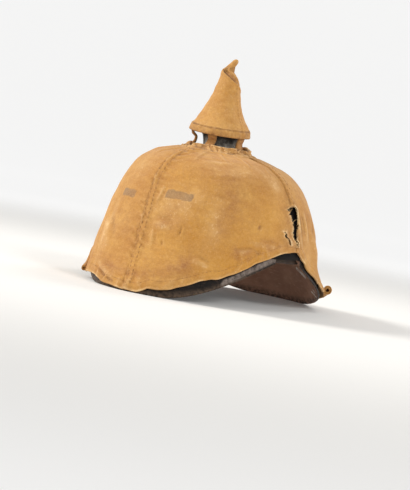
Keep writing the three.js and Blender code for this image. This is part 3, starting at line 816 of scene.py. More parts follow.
columns = cover_columns()
every_column = np.arange(COVER_COLUMNS)
ripple = noise_field(face_point(columns, 0), 20, 4.1)
hem_z = hem_height(columns) + (1.7 - 1.2 * bell(columns, 40)) * ripple
hem_part = np.linspace(0, 1, HEM_ROWS + 1)[:-1, None]
dome_z = dome_heights()
rows_z = np.concatenate(
    [
        hem_z + HEM_TURNED_IN[:, None],
        hem_z - HEM_BEND["sink"][:, None],
        hem_z + (DOME_Z - hem_z) * hem_part,
        dome_z[:, None] + 0 * columns,
    ]
)
bend_row = len(HEM_TURNED_IN)
outside_row = bend_row + len(HEM_BEND["sink"])
dome_row = outside_row + HEM_ROWS
share = np.ones((len(rows_z), 1))
share[:bend_row] = 0
share[bend_row:outside_row, 0] = HEM_BEND["share"]

# Columns beside the tears bend to follow their edges, and the cells between the edges are left out
plain_turn = columns + 0 * rows_z
from_tear = np.full(rows_z.shape, FAR_FROM_TEAR)
pinned = PINS + 0 * dome_z[:, None]
torn = np.zeros((DOME_ROWS, COVER_COLUMNS), bool)
cell_z = dome_z + np.gradient(dome_z) / 2
cell_turn = columns + np.gradient(columns) / 2
for rows, first, seed in TEARS:
    near = 1 - smoothstep(beyond_tear(rows, dome_z), 0, TEAR_BLEND)
    for k, edge in enumerate(tear_edges(rows, dome_z, seed)):
        pinned[:, first + k] += (edge - PINS[first + k]) * near
    between = (cell_turn > PINS[first]) & (cell_turn < PINS[first + 1])
    torn |= (beyond_tear(rows, cell_z) < 0)[:, None] & between
beside_tear = (columns > PINS[0]) & (columns < PINS[-1])
for i in range(DOME_ROWS):
    plain_turn[dome_row + i, beside_tear] = np.interp(columns[beside_tear], PINS, pinned[i])
for rows, first, _ in TEARS:
    beyond = np.maximum(beyond_tear(rows, dome_z), 0)[:, None]
    for k in (first, first + 1):
        aside = (plain_turn[dome_row:] - pinned[:, k, None]) * SIDE_DEGREE
        from_tear[dome_row:] = np.minimum(from_tear[dome_row:], np.hypot(aside, beyond))

turn = cover_turn(plain_turn, rows_z)
base = face_point(turn, rows_z)
normal = face_normal(turn, rows_z)
run_up = np.concatenate([np.abs(rows_z[:outside_row] - hem_z), arc_lengths(base[outside_row:])])
# Millimetres of a degree along the face
degree = np.linalg.norm(face_point(turn + 0.5, rows_z) - face_point(turn - 0.5, rows_z), axis=-1)
across_seam = off_seam(plain_turn) * degree + 1.1 * noise_field(base, 13, 11.3)
from_seam = np.abs(across_seam)
front_seam = bell(wrapped(plain_turn), 40)

# Soft swells, folds and creases move the whole cloth, and seams, hems and stitches shape its face
soft = 0.9 * noise_field(base, 50, 1.7) + 0.5 * noise_field(base, 15, 7.3)
creased = crease_height(base, CREASES) + crease_height(base, hem_creases(44, 3))
ragged = np.clip(0.5 + noise_field(base, 6, 9.9), 0, 1.4)
curl = 1.4 * ragged * bell(from_tear, 2.2)
swell = fold_height(turn, rows_z) + np.maximum(soft + creased, -CREASE_DEPTH) + curl
lapped = window(across_seam, -SEAM_HALF - 0.3, -SEAM_HALF + 0.3, SEAM_HALF - 1.2, SEAM_HALF + 1.2)
seam_dent = bell(from_seam - SEAM_STITCH, 0.6) + 1.6 * bell(across_seam + SEAM_HALF + 0.4, 0.6)
pucker_phase = run_up / 8.2 * 2 * np.pi + across_seam * 0.3 + 4 * noise_field(base, 20, 3.0)
pucker_size = np.clip(0.6 + noise_field(base, 26, 6.1, 1), 0.1, 1.3) * (0.4 + 0.5 * front_seam)
pucker = pucker_size * np.sin(pucker_phase) * bell(from_seam - 4.5, 5)
hem_band = 1 - smoothstep(run_up, HEM_BAND - 0.5, HEM_BAND + 0.6)
hem_dent = bell(run_up - HEM_STITCH, 0.7)
hem_pucker = np.sin(np.radians(columns) * 58 + 3 * ripple) * bell(run_up - 7, 6)
raised = SEAM_RISE * lapped - 0.25 * seam_dent + pucker
raised = raised + HEM_RISE * hem_band - 0.15 * hem_dent + 0.22 * hem_pucker
outer = moved(base, normal, swell + share * raised - (1 - share) * CLOTH)


# The collar round the spike's neck, gathered, and drawn in at every tab
def collar_rows(step, radius, z):
    """Rows of the collar at steps of its table, out of two of its columns, and how crumpled they are."""
    edge = np.clip((step - 1) / 3, 0, 1)
    wave = -COLLAR_WAVE * np.cos(np.radians(2 * TAB_COUNT * (columns - TAB_START))) * edge
    slope = COLLAR_SLOPE * np.cos(np.radians(columns - BEND_TURN))
    for sway in each_row(COLLAR_SWAYS):
        slope = slope + sway["rise"] * bell(wrapped(columns - sway["turn"]), sway["width"])
    slope = (slope + 1.4 * noise_field(spike_ring(29, 140, columns), 12, 5.5)) * edge
    face = spike_ring(collar[radius](step) + wave, collar[z](step) + slope, columns)
    gather = 0.6 * np.sin(np.radians(columns) * 23 + 9 * noise_field(face, 14, 7.7))
    return face, (1.9 * noise_field(face, 9, 2.2, 3) + gather) * smoothstep(step, 0, 1.1)


step = np.linspace(0, COLLAR["step"][-1], COLLAR_ROWS + 1)[1:, None]
collar_face, crumple = collar_rows(step, "radius", "z")
collar_dent = sum(bell(step - stitch, 0.16) for stitch in COLLAR_STITCHES)
collar_rise = crumple + 0.5 * smoothstep(step, 1.6, 2) - 0.25 * collar_dent
collar_outer = moved(collar_face, grid_normals(collar_face, True), collar_rise)
collar_back, crumple_back = collar_rows(COLLAR_TURNED_IN[:, None], "inside_radius", "inside_z")
collar_inner = moved(collar_back, grid_normals(collar_back[::-1], True)[::-1], 0.4 * crumple_back)
collar_edge = (collar_outer[-1:] + collar_inner[:1]) / 2 + UP / 2
cover_grid = np.concatenate([outer, collar_outer, collar_edge, collar_inner])
cover_normals = grid_normals(cover_grid, True)
collar_row = len(outer)
collar_size = len(cover_grid) - collar_row

# Wear on the cover, as soft spots on its face: middle, half sizes in millimetres, strength
WEAR_COLUMNS = "turn z wide high strength"
WEAR = {
    "stain_and_shade": table(
        WEAR_COLUMNS,
        (28, 34, 10, 9, 1), (22, 28, 9, 5, 0.6), (8, 20, 34, 6, 0.75), (-16, 22, 12, 9, 0.6),
        (45, 96, 9, 20, 0.8), (40, 72, 7, 14, 0.5), (62, 77, 1.2, 2.6, 1.2), (34, 118, 20, 6, 0.6),
        (84, 78, 8, 18, 0.7), (11, 66, 16, 7, 0.7), (-12, 54, 10, 12, 0.4), (54, 50, 16, 7, 0.85),
        (70, 62, 14, 6, 0.75), (60, 56, 30, 12, 0.3), (112, 46, 16, 22, 0.35), (14, 82, 15, 13, 0.45),
        (150, 70, 26, 18, 0.7), (-120, 60, 24, 26, 0.6), (-165, 100, 20, 14, 0.6),
        (110, 96, 12, 18, 0.5), (-70, 90, 20, 14, 0.5),
    ),
    "fade_and_highlight": table(
        WEAR_COLUMNS,
        (37, 74, 8, 22, 0.9), (77.5, 115.5, 6, 6, 1.3), (-31, 48, 5, 26, 0.9), (14, 84, 16, 12, 1.1),
        (50, 124, 30, 5, 0.7), (100, 60, 10, 20, 0.4), (-25, 112, 14, 14, 0.5), (24, 96, 10, 8, 0.5),
        (-100, 90, 30, 20, 0.6), (170, 50, 30, 16, 0.6),
    ),
    "gold": table(
        WEAR_COLUMNS,
        (60, 48, 36, 17, 1.6), (70, 84, 22, 22, 0.8), (-20, 36, 16, 14, 0.5), (14, 56, 12, 12, 0.4),
        (40, 30, 16, 8, 0.5), (110, 42, 20, 30, 1.3), (-60, 60, 24, 26, 0.5), (-140, 80, 30, 20, 0.6),
    ),
}
COLLAR_WEAR = {"stain_and_shade": 0.1, "fade_and_highlight": 0.8, "gold": 0, "grime_and_shade": 0.12, "paint": 0}
# A plain stripe of worn paint, broken at the front seam: middle and half sizes of its two parts
PAINT_BARS = table("turn z wide high", (-23, 87, 11, 4.4), (14, 93, 13, 4.6))


def spots(rows):
    """Sum of the soft spots of a table on the cover's face."""
    total = np.zeros_like(rows_z)
    for spot in each_row(rows):
        across = wrapped(turn - spot["turn"]) * degree / spot["wide"]
        up = (rows_z - spot["z"]) / spot["high"]
        total += spot["strength"] * bell(np.hypot(across, up), 1)
    return total


def painted(rows):
    """Depth in millimetres inside the nearest bar, on top of PAINT_FAR, and 0 far outside."""
    depth = np.zeros_like(rows_z)
    for bar in each_row(rows):
        up = np.abs(rows_z - bar["z"]) * 1.2 - bar["high"]
        across = np.abs(wrapped(turn - bar["turn"]) * degree) - bar["wide"]
        depth = np.maximum(depth, PAINT_FAR - np.maximum(across, up))
    return depth


# Darkening of the cover: dirt along its seams, stitches, hem and tear, and painted shade in the seam's lapped
# step, in the stitch and hem dents, in pucker and crease valleys and over the turned-in hem.
grime_and_shade = 0.95 * bell(across_seam + SEAM_HALF + 0.4, 0.7)
grime_and_shade = grime_and_shade + (0.15 + 0.25 * front_seam) * bell(from_seam - SEAM_STITCH, 0.9)
grime_and_shade = grime_and_shade * (0.3 + 0.7 * smoothstep(rows_z, 34, 78))
grime_and_shade = grime_and_shade + 0.4 * np.clip(-pucker, 0, 1) + 0.3 * hem_dent + 0.25 * bell(run_up - 2.6, 1.2)
grime_and_shade = grime_and_shade + 0.35 * bell(from_tear - 5, 4) + np.clip(-1.4 * creased - 0.3, 0, 1.4) + 0.8 * (1 - share)
frayed = (1.2 + 3.6 * ragged) * bell(from_tear, 1.8)
frayed = frayed + 2 * bell(run_up, 1) * share * np.clip(0.6 + 1.6 * ripple, 0.1, 1)
wear = {key: spots(rows) for key, rows in WEAR.items()}
# Painted highlight: paler on the ridges of creases and puckers. Frayed edges are paler thread.
wear["fade_and_highlight"] += np.clip(creased, 0, 1) + frayed + 0.3 * np.clip(pucker, 0, 1)
wear["grime_and_shade"] = np.clip(grime_and_shade, 0, 1.4)
wear["paint"] = painted(PAINT_BARS)
cover_layers = {}
for key, values in wear.items():
    on_collar = np.full((collar_size, COVER_COLUMNS), COLLAR_WEAR[key])
    cover_layers[key] = np.concatenate([values, on_collar])
# Painted highlight on the collar's crumpled ridges, and painted shade in its hollows and over its turned-in
# inside.
crumpled = np.concatenate([crumple, crumple[-1:], crumple_back])
cover_layers["fade_and_highlight"][collar_row:] += 0.8 * np.clip(crumpled, 0, 1)
cover_layers["grime_and_shade"][collar_row:] += 1.8 * np.clip(-crumpled, 0, 0.7)
cover_layers["grime_and_shade"][collar_row + COLLAR_ROWS + 2 :] += 1.2

# Each panel is cut from its own stretch of cloth, with its threads along the panel's middle
from_middle = plain_turn - 45
panel_across = off_seam(from_middle) * degree + PANEL_STRETCH * np.round(from_middle / 90)
panel_across = np.concatenate([panel_across, np.repeat(panel_across[-1:], collar_size, 0)])
cover_run = arc_lengths(cover_grid)
cover_uv = np.stack([panel_across, cover_run - cover_run[dome_row]], -1) * MM
kept = np.ones((len(cover_grid) - 1, COVER_COLUMNS), bool)
kept[dome_row : dome_row + DOME_ROWS] &= ~torn
crown_cloth = sheet_object("crown_cover_cloth", cover_grid, cover_normals, kept, cover_layers, cover_uv)
finish_piece(crown_cloth, canvas, "canvas", "crown_cover")

# Rolled stretches of the hem, curled outwards so that their ends show the roll
HEM_ROLLS = {
    "rear_hem_roll": {"open_end": 129, "shut_end": 228, "radius": 4.7, "rise": 3.5},
    "front_hem_roll": {"open_end": -42.5, "shut_end": -72, "radius": 2.7, "rise": 2.2},
}
ROLL_TURNS = 2.1
ROLL_START = 175
ROLL_CORE = 0.34
ROLL_CLOTH = 0.19


def hem_roll(name, open_end, shut_end, radius, rise):
    """A strip of cloth curled into a spiral along the hem. It runs out flat at its shut end."""
    first, last = sorted((open_end, shut_end))
    along = np.linspace(first, last, int((last - first) * 1.6))
    away = np.abs(along - open_end) / (last - first)
    slim = 0.72 + 0.42 * bell(along - open_end, 5) - 0.52 * smoothstep(away, 0.6, 1)
    size = radius * slim * (1 + 0.1 * noise_field(face_point(along, 0), 14, 9.1))
    curl = np.linspace(0, 1, 64)[:, None]
    angle = np.radians(ROLL_START + 360 * ROLL_TURNS * curl)
    z = hem_height(along) + rise + 0.5 * noise_field(face_point(along, 0), 22, 6.4)
    out = unit(face_normal(along, z) * (1, 1, 0))
    centre = moved(point_below(along, z, -fold_height(along, z)), out, size + 0.2 * radius - CLOTH)
    reach = size * (1 - (1 - ROLL_CORE) * smoothstep(curl, -0.4, 1.3))

    def spiral(arm):
        return centre + (out * np.cos(angle)[..., None] + UP * np.sin(angle)[..., None]) * arm[..., None]

    uv = np.stack(np.broadcast_arrays(arc_lengths(centre), radius * angle), -1) * MM
    # Painted shade, darker on the roll's inner turns.
    shade = 0.25 + 0.3 * smoothstep(curl, 0.5, 1) + 0 * along
    layers = {"grime_and_shade": shade, "fade_and_highlight": np.full(shade.shape, 0.3)}
    return wall_object(name, spiral(reach), spiral(reach - ROLL_CLOTH * size), False, layers, uv)


hem_rolls = [finish_piece(hem_roll(name, **sizes), canvas, "canvas") for name, sizes in HEM_ROLLS.items()]

# Stitches of the crown cover
seam_threads, hem_threads = Threads(), Threads()
sewn_rows = np.arange(outside_row + 4, len(rows_z) - 1)
for seam in SEAM_TURNS:
    clear = np.ones(len(sewn_rows), bool)
    if seam == TEAR_SEAM:
        clear = (sewn_rows < dome_row) | (beyond_tear(TEAR_ROWS, rows_z[sewn_rows, 0]) > 1)
    for side in (-1, 1):
        offset = side * SEAM_STITCH / np.median(degree, axis=1)[sewn_rows]
        column = np.interp(wrapped(seam + offset), columns, every_column)
        for part in np.split(np.arange(len(sewn_rows)), np.flatnonzero(np.diff(clear)) + 1):
            if clear[part[0]] and len(part) > 3:
                seam_threads.sew(cover_grid, cover_normals, sewn_rows[part], column[part], SEAM_THREAD)
sewn_lines = [outside_row + rows_at(run_up[outside_row:], HEM_STITCH)]
for stitch in COLLAR_STITCHES:
    sewn_lines.append(np.full(COVER_COLUMNS, collar_row - 1 + COLLAR_ROWS / COLLAR["step"][-1] * stitch))
for line in sewn_lines:
    hem_threads.sew(cover_grid, cover_normals, line, every_column, HEM_THREAD)
crown_stitches = finish_piece(seam_threads.object("crown_cover_stitches"), stitch_thread, "canvas")
hem_stitches = finish_piece(hem_threads.object("crown_hem_stitches"), pale_thread, "canvas")

# Frayed threads along the edges of the tears
FRAY_COUNTS = (36, 170)
FRAY_RADIUS = 0.2
fray = Threads()
draw = np.random.default_rng(21)
part = np.linspace(0, 1, STITCH_RINGS)[:, None]
for (rows, first, _), count in zip(TEARS, FRAY_COUNTS):
    for _ in range(count):
        z = draw.uniform(rows["z"][0] + 0.5, rows["z"][-1] - 0.5)
        row = np.array([dome_row + np.interp(z, dome_z, np.arange(DOME_ROWS))])
        which = draw.integers(2)
        column = np.array([np.interp(PINS[first + which], columns, every_column)])
        lift = unit(on_grid(cover_normals, row, column))
        inward = np.array([0, 1.0 - 2 * which, 0])
        heading = inward * draw.uniform(0.4, 1) + UP * draw.normal(0, 0.6)
        bow = -UP * draw.uniform(0, 0.6)
        centres = on_grid(cover_grid, row, column) - lift * 0.5
        centres = centres + (heading * part + bow * part**2) * draw.gamma(2, 0.7)
        centres = centres + lift * (draw.uniform(-0.3, 0.9) * part)
        fray.add(centres, FRAY_RADIUS * (1.02 - 0.6 * part[:, 0]), lift)
tear_threads = finish_piece(fray.object("tear_threads"), frayed_thread, "canvas")

# The spike's cover: sections along the spike, with the cloth pinched into a tail at the top
SPIKE_COVER = table(
    "z lean wide deep drop",
    (153.2, -1.3, 28.5, 28.5, 2.2),
    (156.6, -1.3, 27.8, 27.8, 2),
    (159.9, -1.3, 26.9, 26.9, 1.8),
    (164, -1.2, 24.6, 24.6, 1.4),
    (169.5, -1.4, 21.5, 21.8, 1),
    (175.5, -1.5, 18.7, 19, 0.6),
    (183, -1.4, 15.6, 15.6, 0.3),
    (191, -1.2, 13.1, 12.8, 0),
    (200, -0.8, 11.1, 10.6, 0),
    (206, -1.2, 9.2, 8.6, 0),
    (210.2, -2.8, 7.4, 6.2, 0),
    (213.4, -4, 5.1, 4, 0),
    (215.4, -2.7, 4.1, 3, 0),
    (218.4, -0.6, 3.7, 2.6, 0),
    (221.6, 1.5, 3.1, 2.4, 0),
    (223.5, 2.1, 2.2, 1.8, 0),
    (224.3, 2.3, 1.2, 1, 0),
    (224.6, 2.4, 0.1, 0.1, 0),
)
CONE_SIDES = 128
CONE_ROWS = 118
CONE_SEAM_TURN = 86
CONE_SEAM_ROWS = np.arange(6, 92)
CONE_SEAM_STITCH = 1.8
CONE_HEM = 7.8
CONE_HEM_STITCH = CONE_HEM - 1
CONE_EDGE = np.array([0, 0.35, 0.8, 1.4])
CONE_UV_RADIUS = 20
HOLLOW_TOP = 211
# The tuck below the tail runs down across the cone's front left
TUCK_TURN = 50
TUCK_REACH = 75
TUCK_Z = 204.6
TUCK_SLOPE = 8.6
spike_cover = curves(SPIKE_COVER, "z")


def spike_cover_point(z, at, depth):
    """Point of the spike's cover at an angle about the spike's axis, below its face by a depth."""
    bend = np.radians(at - BEND_TURN)
    along = spike_cover["lean"](z) + np.maximum(spike_cover["wide"](z) - depth, 0.05) * np.cos(bend)
    across = np.maximum(spike_cover["deep"](z) - depth, 0.05) * np.sin(bend)
    sine, cosine = math.sin(math.radians(BEND_TURN)), math.cos(math.radians(BEND_TURN))
    x, y = along * sine + across * cosine, SPIKE_Y - along * cosine + across * sine
    drop = spike_cover["drop"](z) * np.cos(np.radians(at - DROP_TURN))
    return np.stack([x, y, z - drop], -1)


cone_turns = np.linspace(0, 360, CONE_SIDES, endpoint=False) + CONE_SEAM_TURN + 180
cone_low, cone_top, edge_top = SPIKE_COVER["z"][0], SPIKE_COVER["z"][-1], CONE_EDGE[-1]
cone_part = np.linspace(0, 1, CONE_ROWS - len(CONE_EDGE) + 1)[1:] ** 0.96
cone_heights = np.concatenate([CONE_EDGE, edge_top + (cone_top - cone_low - edge_top) * cone_part])
cone_z = cone_low + cone_heights[:, None] + 0 * cone_turns
cone_base = spike_cover_point(cone_z, cone_turns, 0)
cone_normal = grid_normals(cone_base, True)
cone_run = arc_lengths(cone_base)
cone_radius = (spike_cover["wide"](cone_z) + spike_cover["deep"](cone_z)) / 2
from_cone_seam = np.abs(np.radians(wrapped(cone_turns - CONE_SEAM_TURN))) * cone_radius
full = smoothstep(cone_radius, 2.5, 9)
cone_soft = full * (0.7 * noise_field(cone_base, 24, 5.2) + 0.35 * noise_field(cone_base, 8, 8.8))
tuck_across = wrapped(cone_turns - TUCK_TURN) / TUCK_REACH
above_tuck = cone_z - TUCK_Z + TUCK_SLOPE * tuck_across
in_tuck = np.exp(-(tuck_across**4))
tuck = window(above_tuck, -0.2, 1.2, 2.5, 8) * in_tuck
shaded = window(above_tuck, 0, 1, 4, 9) * in_tuck
lip = bell(above_tuck + 1, 1.6) * in_tuck
tuck_line = bell(above_tuck - 0.6, 0.8) * in_tuck
cone_hem = 1 - smoothstep(cone_run, CONE_HEM - 0.4, CONE_HEM + 0.5)
from_stitch = cone_run - CONE_HEM_STITCH
cone_seam = 1 - smoothstep(from_cone_seam, 2.2, 3.2)
to_edge = 1 - np.minimum(cone_run / edge_top, 1)
cone_round = 0.8 * (1 - np.sqrt(1 - to_edge**2))
hem_wobble = 0.28 * np.sin(np.radians(cone_turns) * 17) * bell(cone_run - 6, 4)
hem_crumple = noise_field(cone_base, 5, 3.9) * bell(cone_run - 4.5, 4.5)
cone_rise = cone_soft + 0.8 * cone_hem - 0.5 * bell(from_stitch, 0.6) + 0.25 * cone_seam * full
cone_rise = cone_rise - cone_round + hem_wobble - 2.4 * tuck + 0.9 * lip + 0.5 * hem_crumple
cone_outer = moved(cone_base, cone_normal, cone_rise)
cone_inner = spike_cover_point(np.minimum(cone_z, HOLLOW_TOP), cone_turns, CLOTH)
cone_inner = moved(cone_inner, cone_normal, np.maximum(0.6 * cone_soft + 0.3 * cone_round, -0.2))
# Painted shade along the hem's stitch dent, its lower edge and its band, in the tuck and along its fold line,
# with a little dirt beside the seam. The brown painted shade above the fold goes in with the stains.
cone_grime_and_shade = 1.1 * bell(from_stitch, 0.7) + 0.7 * np.exp(-cone_run / 1.6) + 0.5 * tuck + 2.4 * tuck_line
cone_grime_and_shade = cone_grime_and_shade + 0.12 * bell(from_cone_seam - 2.6, 0.9) * full + cone_hem * (0.5 - 0.7 * hem_crumple)
cone_layers = {
    "grime_and_shade": np.clip(cone_grime_and_shade, 0, 3),
    "stain_and_shade": 0.25 * smoothstep(cone_z, 196, 214) + 0.9 * shaded,
    "fade_and_highlight": np.full(cone_z.shape, 0.25),
}
cone_uv = np.stack(np.broadcast_arrays(np.radians(cone_turns) * CONE_UV_RADIUS, cone_run), -1) * MM
spike_cloth = wall_object("spike_cover_cloth", cone_outer, cone_inner, True, cone_layers, cone_uv)
finish_piece(spike_cloth, canvas, "canvas", "spike_cover")

cone_normals = grid_normals(cone_outer, True)
cone_threads, cone_seam_threads = Threads(), Threads()
hem_line = rows_at(cone_run, CONE_HEM_STITCH)
cone_threads.sew(cone_outer, cone_normals, hem_line, np.arange(CONE_SIDES), CONE_THREAD)
for side in (-1, 1):
    offset = side * CONE_SEAM_STITCH / cone_radius[CONE_SEAM_ROWS, 0] / math.tau
    column = CONE_SIDES * (0.5 + offset)
    cone_seam_threads.sew(cone_outer, cone_normals, CONE_SEAM_ROWS, column, CONE_SEAM_THREAD)
spike_stitches = finish_piece(cone_threads.object("spike_cover_stitches"), stitch_thread, "canvas")
spike_seam_stitches = finish_piece(cone_seam_threads.object("spike_seam_stitches"), pale_thread, "canvas")

# Tabs between the spike's cover and the collar: radii at the foot, and distances inside the cone at the head
TAB_WIDTH = 8.6
TAB_CLOTH = 2.6
TAB_FOOT = ((136.8, 26.1), (140.6, 26.1), (143.6, 24.4), (146.6, 24))
TAB_HEAD = ((149.6, 1.1), (153.2, 0.4), (157.2, 0.4))


def tab_object(number, at):
    """A strip of cloth from inside the collar to inside the hem of the spike's cover."""
    lean = math.cos(math.radians(at - BEND_TURN))
    drop = SPIKE_COVER["drop"][0] * math.cos(math.radians(at - DROP_TURN))
    rows = list(TAB_FOOT)
    for z, off in TAB_HEAD:
        inside = spike_cover["wide"](z + drop) - CLOTH + spike_cover["lean"](z + drop) * lean
        rows.append((z, float(inside) - off))
    path = table("z radius", *rows)
    z = np.linspace(path["z"][0], path["z"][-1], 34)[:, None]
    side = np.linspace(-1, 1, 13)
    radius = curves(path, "z")["radius"](z)
    bow = 0.25 * np.sin(z * 0.55 + number * 1.7) - 2.4 * (1 - smoothstep(z, path["z"][0], 150))
    face = spike_ring(radius, z, at + np.degrees((TAB_WIDTH / 2 * side + bow) / radius))
    crumple = 0.3 * noise_field(face, 5, number * 3.3)
    rounding = 0.35 * np.abs(side) ** 6
    out = grid_normals(face, False)
    front = moved(face, out, crumple - rounding)
    back = moved(face, out, crumple + rounding - TAB_CLOTH)
    # Painted shade, darker at the tab's edges and towards its head under the spike's cover.
    shade = np.clip(0.25 + 0.5 * np.abs(side) ** 5 + 0.3 * smoothstep(z, 148, 153), 0, 1)
    layers = {"grime_and_shade": shade, "stain_and_shade": np.full(shade.shape, 0.5)}
    uv = np.stack(np.broadcast_arrays(TAB_WIDTH / 2 * side, z), -1) * MM
    return wall_object(f"tab_{number}_cloth", front, back, False, layers, uv)


for number in range(1, TAB_COUNT + 1):
    tab = tab_object(number, TAB_START + 360 / TAB_COUNT * (number - 1))
    finish_piece(tab, tab_canvas, "tab_canvas", f"tab_{number}")

# Leather: shell, visors and sweatband, each a wall with rounded edges
EDGE_STEPS = 6
RING = np.linspace(0, 360, 200, endpoint=False)
SHELL_ROWS = np.linspace(RIM_Z + 3, 126, 40)
SHELL_CROWN = ((40, 130.4), (30, 131.4), (20, 132), (10, 132.3), (0.05, 132.4))
BAND_ROWS = np.linspace(0, 1, 16)
VISOR_COLUMNS = 360
VISOR_ROWS = np.linspace(0.06, 1, 52)
RIM_WEAR = np.concatenate([np.ones(EDGE_STEPS), np.linspace(0.85, 0.1, 6)])
# Painted sheen along the front visor and pale marks on the rear visor's lining, from one place to another by
# angle and height over the rim
SHEEN_AND_SCRATCHES = table(
    "turn above end_turn end_above width",
    (49, 4.6, 60, 5.4, 4.4),
    (60, 5.4, 77, 4.6, 4.4),
    (146, 11.2, 136, 1.6, 1.5),
    (143, 12.6, 137, 6.4, 1),
    (159, 37, 151, 27, 2.6),
)
TURN_LENGTH = 2.2
FAR_FROM_MARKS = -5.0


def rounded_edge(place, face, thickness):
    """Rows of a half-round edge, outer and inner. place gives the points at a depth and a rise."""
    rows = []
    for angle in np.linspace(0, np.pi / 2, EDGE_STEPS):
        sink, rise = thickness / 2 * (1 - math.sin(angle)), thickness / 2 * (1 - math.cos(angle))
        rows.append((place(face + sink, rise), place(face + thickness - sink, rise)))
    return rows


def leather_object(name, rows, ring, layers=None):
    return wall_object(name, *map(np.stack, zip(*rows)), ring, layers)


def shell_object():
    face = CLOTH + GAP
    rows = rounded_edge(lambda depth, rise: point_within(RING, RIM_Z + rise, depth), face, LEATHER)
    for z in SHELL_ROWS:
        uneven = 0.12 * noise_field(face_point(RING, z), 20, 3.7)
        depths = (np.maximum(uneven, 0), LEATHER + uneven)
        rows.append([point_below(RING, z, face + depth) for depth in depths])
    for radius, z in SHELL_CROWN:
        rows.append([spike_ring(radius, z - depth, RING) for depth in (0, LEATHER)])
    wear = np.zeros((len(rows), len(RING)))
    wear[:EDGE_STEPS] = 1
    return leather_object("shell_leather", rows, True, {"wear": wear})


def near_sheen_and_scratches(turn, above):
    """How near points of a visor are to its marks, the painted sheen and the scratches: 1 in the middle of
    one and 0 at its edge.
    """
    nearest = np.full(above.shape, FAR_FROM_MARKS)
    place = np.stack(np.broadcast_arrays(turn * TURN_LENGTH, above), -1)
    for sheen_and_scratch in each_row(SHEEN_AND_SCRATCHES):
        start = np.array([sheen_and_scratch["turn"] * TURN_LENGTH, sheen_and_scratch["above"]])
        end = np.array([sheen_and_scratch["end_turn"] * TURN_LENGTH, sheen_and_scratch["end_above"]])
        _, gap = beside_line(place, start, end)
        nearest = np.maximum(nearest, 1 - np.linalg.norm(gap, axis=-1) / sheen_and_scratch["width"])
    return nearest


def visor_object(name, middle, end):
    """A visor that flares out below the shell's edge, with a flange inside the shell."""
    face, flange_face = CLOTH + GAP + VISOR_SLACK, CLOTH + LEATHER + 2 * GAP
    shoulder = RIM_Z - VISOR_JOINT
    around = middle + np.linspace(-end, end, VISOR_COLUMNS)
    rim, climb = rim_height(around), rim_climb(around)

    def edge(depth, rise):
        point = point_within(around, rim, depth)
        ground = ground_height(point[:, 1])
        point[:, 2] = ground + (RIM_Z - ground) * climb + rise
        return point

    rows = rounded_edge(edge, face, LEATHER)
    for part in VISOR_ROWS:
        z_out, z_in = rim + (shoulder - rim) * part, rim + (shoulder - LEATHER - rim) * part
        sag = 0.25 * noise_field(face_point(around, z_out), 34, 2.9) * math.sin(math.pi * part)
        depth = face + np.maximum(sag, 0)
        rows.append((point_within(around, z_out, depth), point_within(around, z_in, depth + LEATHER)))
    for z in (shoulder, RIM_Z + VISOR_FLANGE / 2, RIM_Z + VISOR_FLANGE):
        rows.append([point_within(around, z, flange_face + depth) for depth in (0, LEATHER)])
    above = np.stack([outer[:, 2] for outer, _ in rows]) - rim
    wear = np.zeros(above.shape)
    wear[: len(RIM_WEAR)] = RIM_WEAR[:, None]
    return leather_object(name, rows, False, {"wear": wear, "sheen_and_scratch": near_sheen_and_scratches(around, above)})


def sweatband_object():
    face = CLOTH + 2 * LEATHER + 3 * GAP
    bottom = RIM_Z - BAND_BELOW_RIM + 0.5 * noise_field(face_point(RING, 40), 40, 1.1)
    top = bottom + BAND_HEIGHT - 0.6
    rows = rounded_edge(lambda depth, rise: point_within(RING, bottom + rise, depth), face, BAND_LEATHER)
    for part in BAND_ROWS:
        z = bottom + 1 + (top - bottom - 2) * part
        rows.append([point_within(RING, z, face + depth) for depth in (0, BAND_LEATHER)])
    upper = rounded_edge(lambda depth, rise: point_within(RING, top - rise, depth), face, BAND_LEATHER)
    return leather_object("sweatband_leather", rows + upper[::-1], True)


finish_piece(shell_object(), leathers["black_leather"], "black_leather", "shell")
for name, leather in (("front", "visor_leather"), ("rear", "nape_leather")):
    visor = visor_object(f"{name}_visor_leather", VISORS[name]["middle"], VISORS[name]["end"])
    finish_piece(visor, leathers[leather], "visor_leather", f"{name}_visor")
finish_piece(sweatband_object(), leathers["band_leather"], "band_leather", "sweatband")

# The metal spike, turned about its axis
SPIKE_FACE = table(
    "radius z",
    (42, 132.2), (30, 133.6), (21, 134.8), (17.6, 136.4), (16, 139), (15.3, 141.5), (15.9, 145.5),
    (16.9, 149.2), (18, 151.4), (19.2, 152.2), (19.6, 153), (19.6, 154.8), (19.1, 155.7), (16.6, 157),
    (11.5, 161), (8.6, 174), (5.2, 193), (2.2, 206.5), (0.05, 208.2),
)
SPIKE_HOLLOW = table(
    "radius z",
    (42, 131), (30, 132.3), (21, 133.4), (15.8, 135.4), (14.2, 143), (16.2, 151.4), (15.2, 155.6),
    (10.3, 160.4), (7.4, 174), (4, 193), (0.05, 203),
)
SPIKE_SIDES = 96
SPIKE_STEPS = 70
# Heights between which the neck darkens under its cover, a painted shade
SHADE_RISE = (141, 150)


def lathe_rows(profile):
    """Rings along a profile of radii and heights: at its corners, and evenly spread along its length."""
    run = arc_lengths(np.stack([profile["radius"], profile["z"]], -1))
    at = np.union1d(np.linspace(0, run[-1], SPIKE_STEPS), run)[:, None]
    around = np.linspace(0, 360, SPIKE_SIDES, endpoint=False)
    return spike_ring(np.interp(at, run, profile["radius"]), np.interp(at, run, profile["z"]), around)


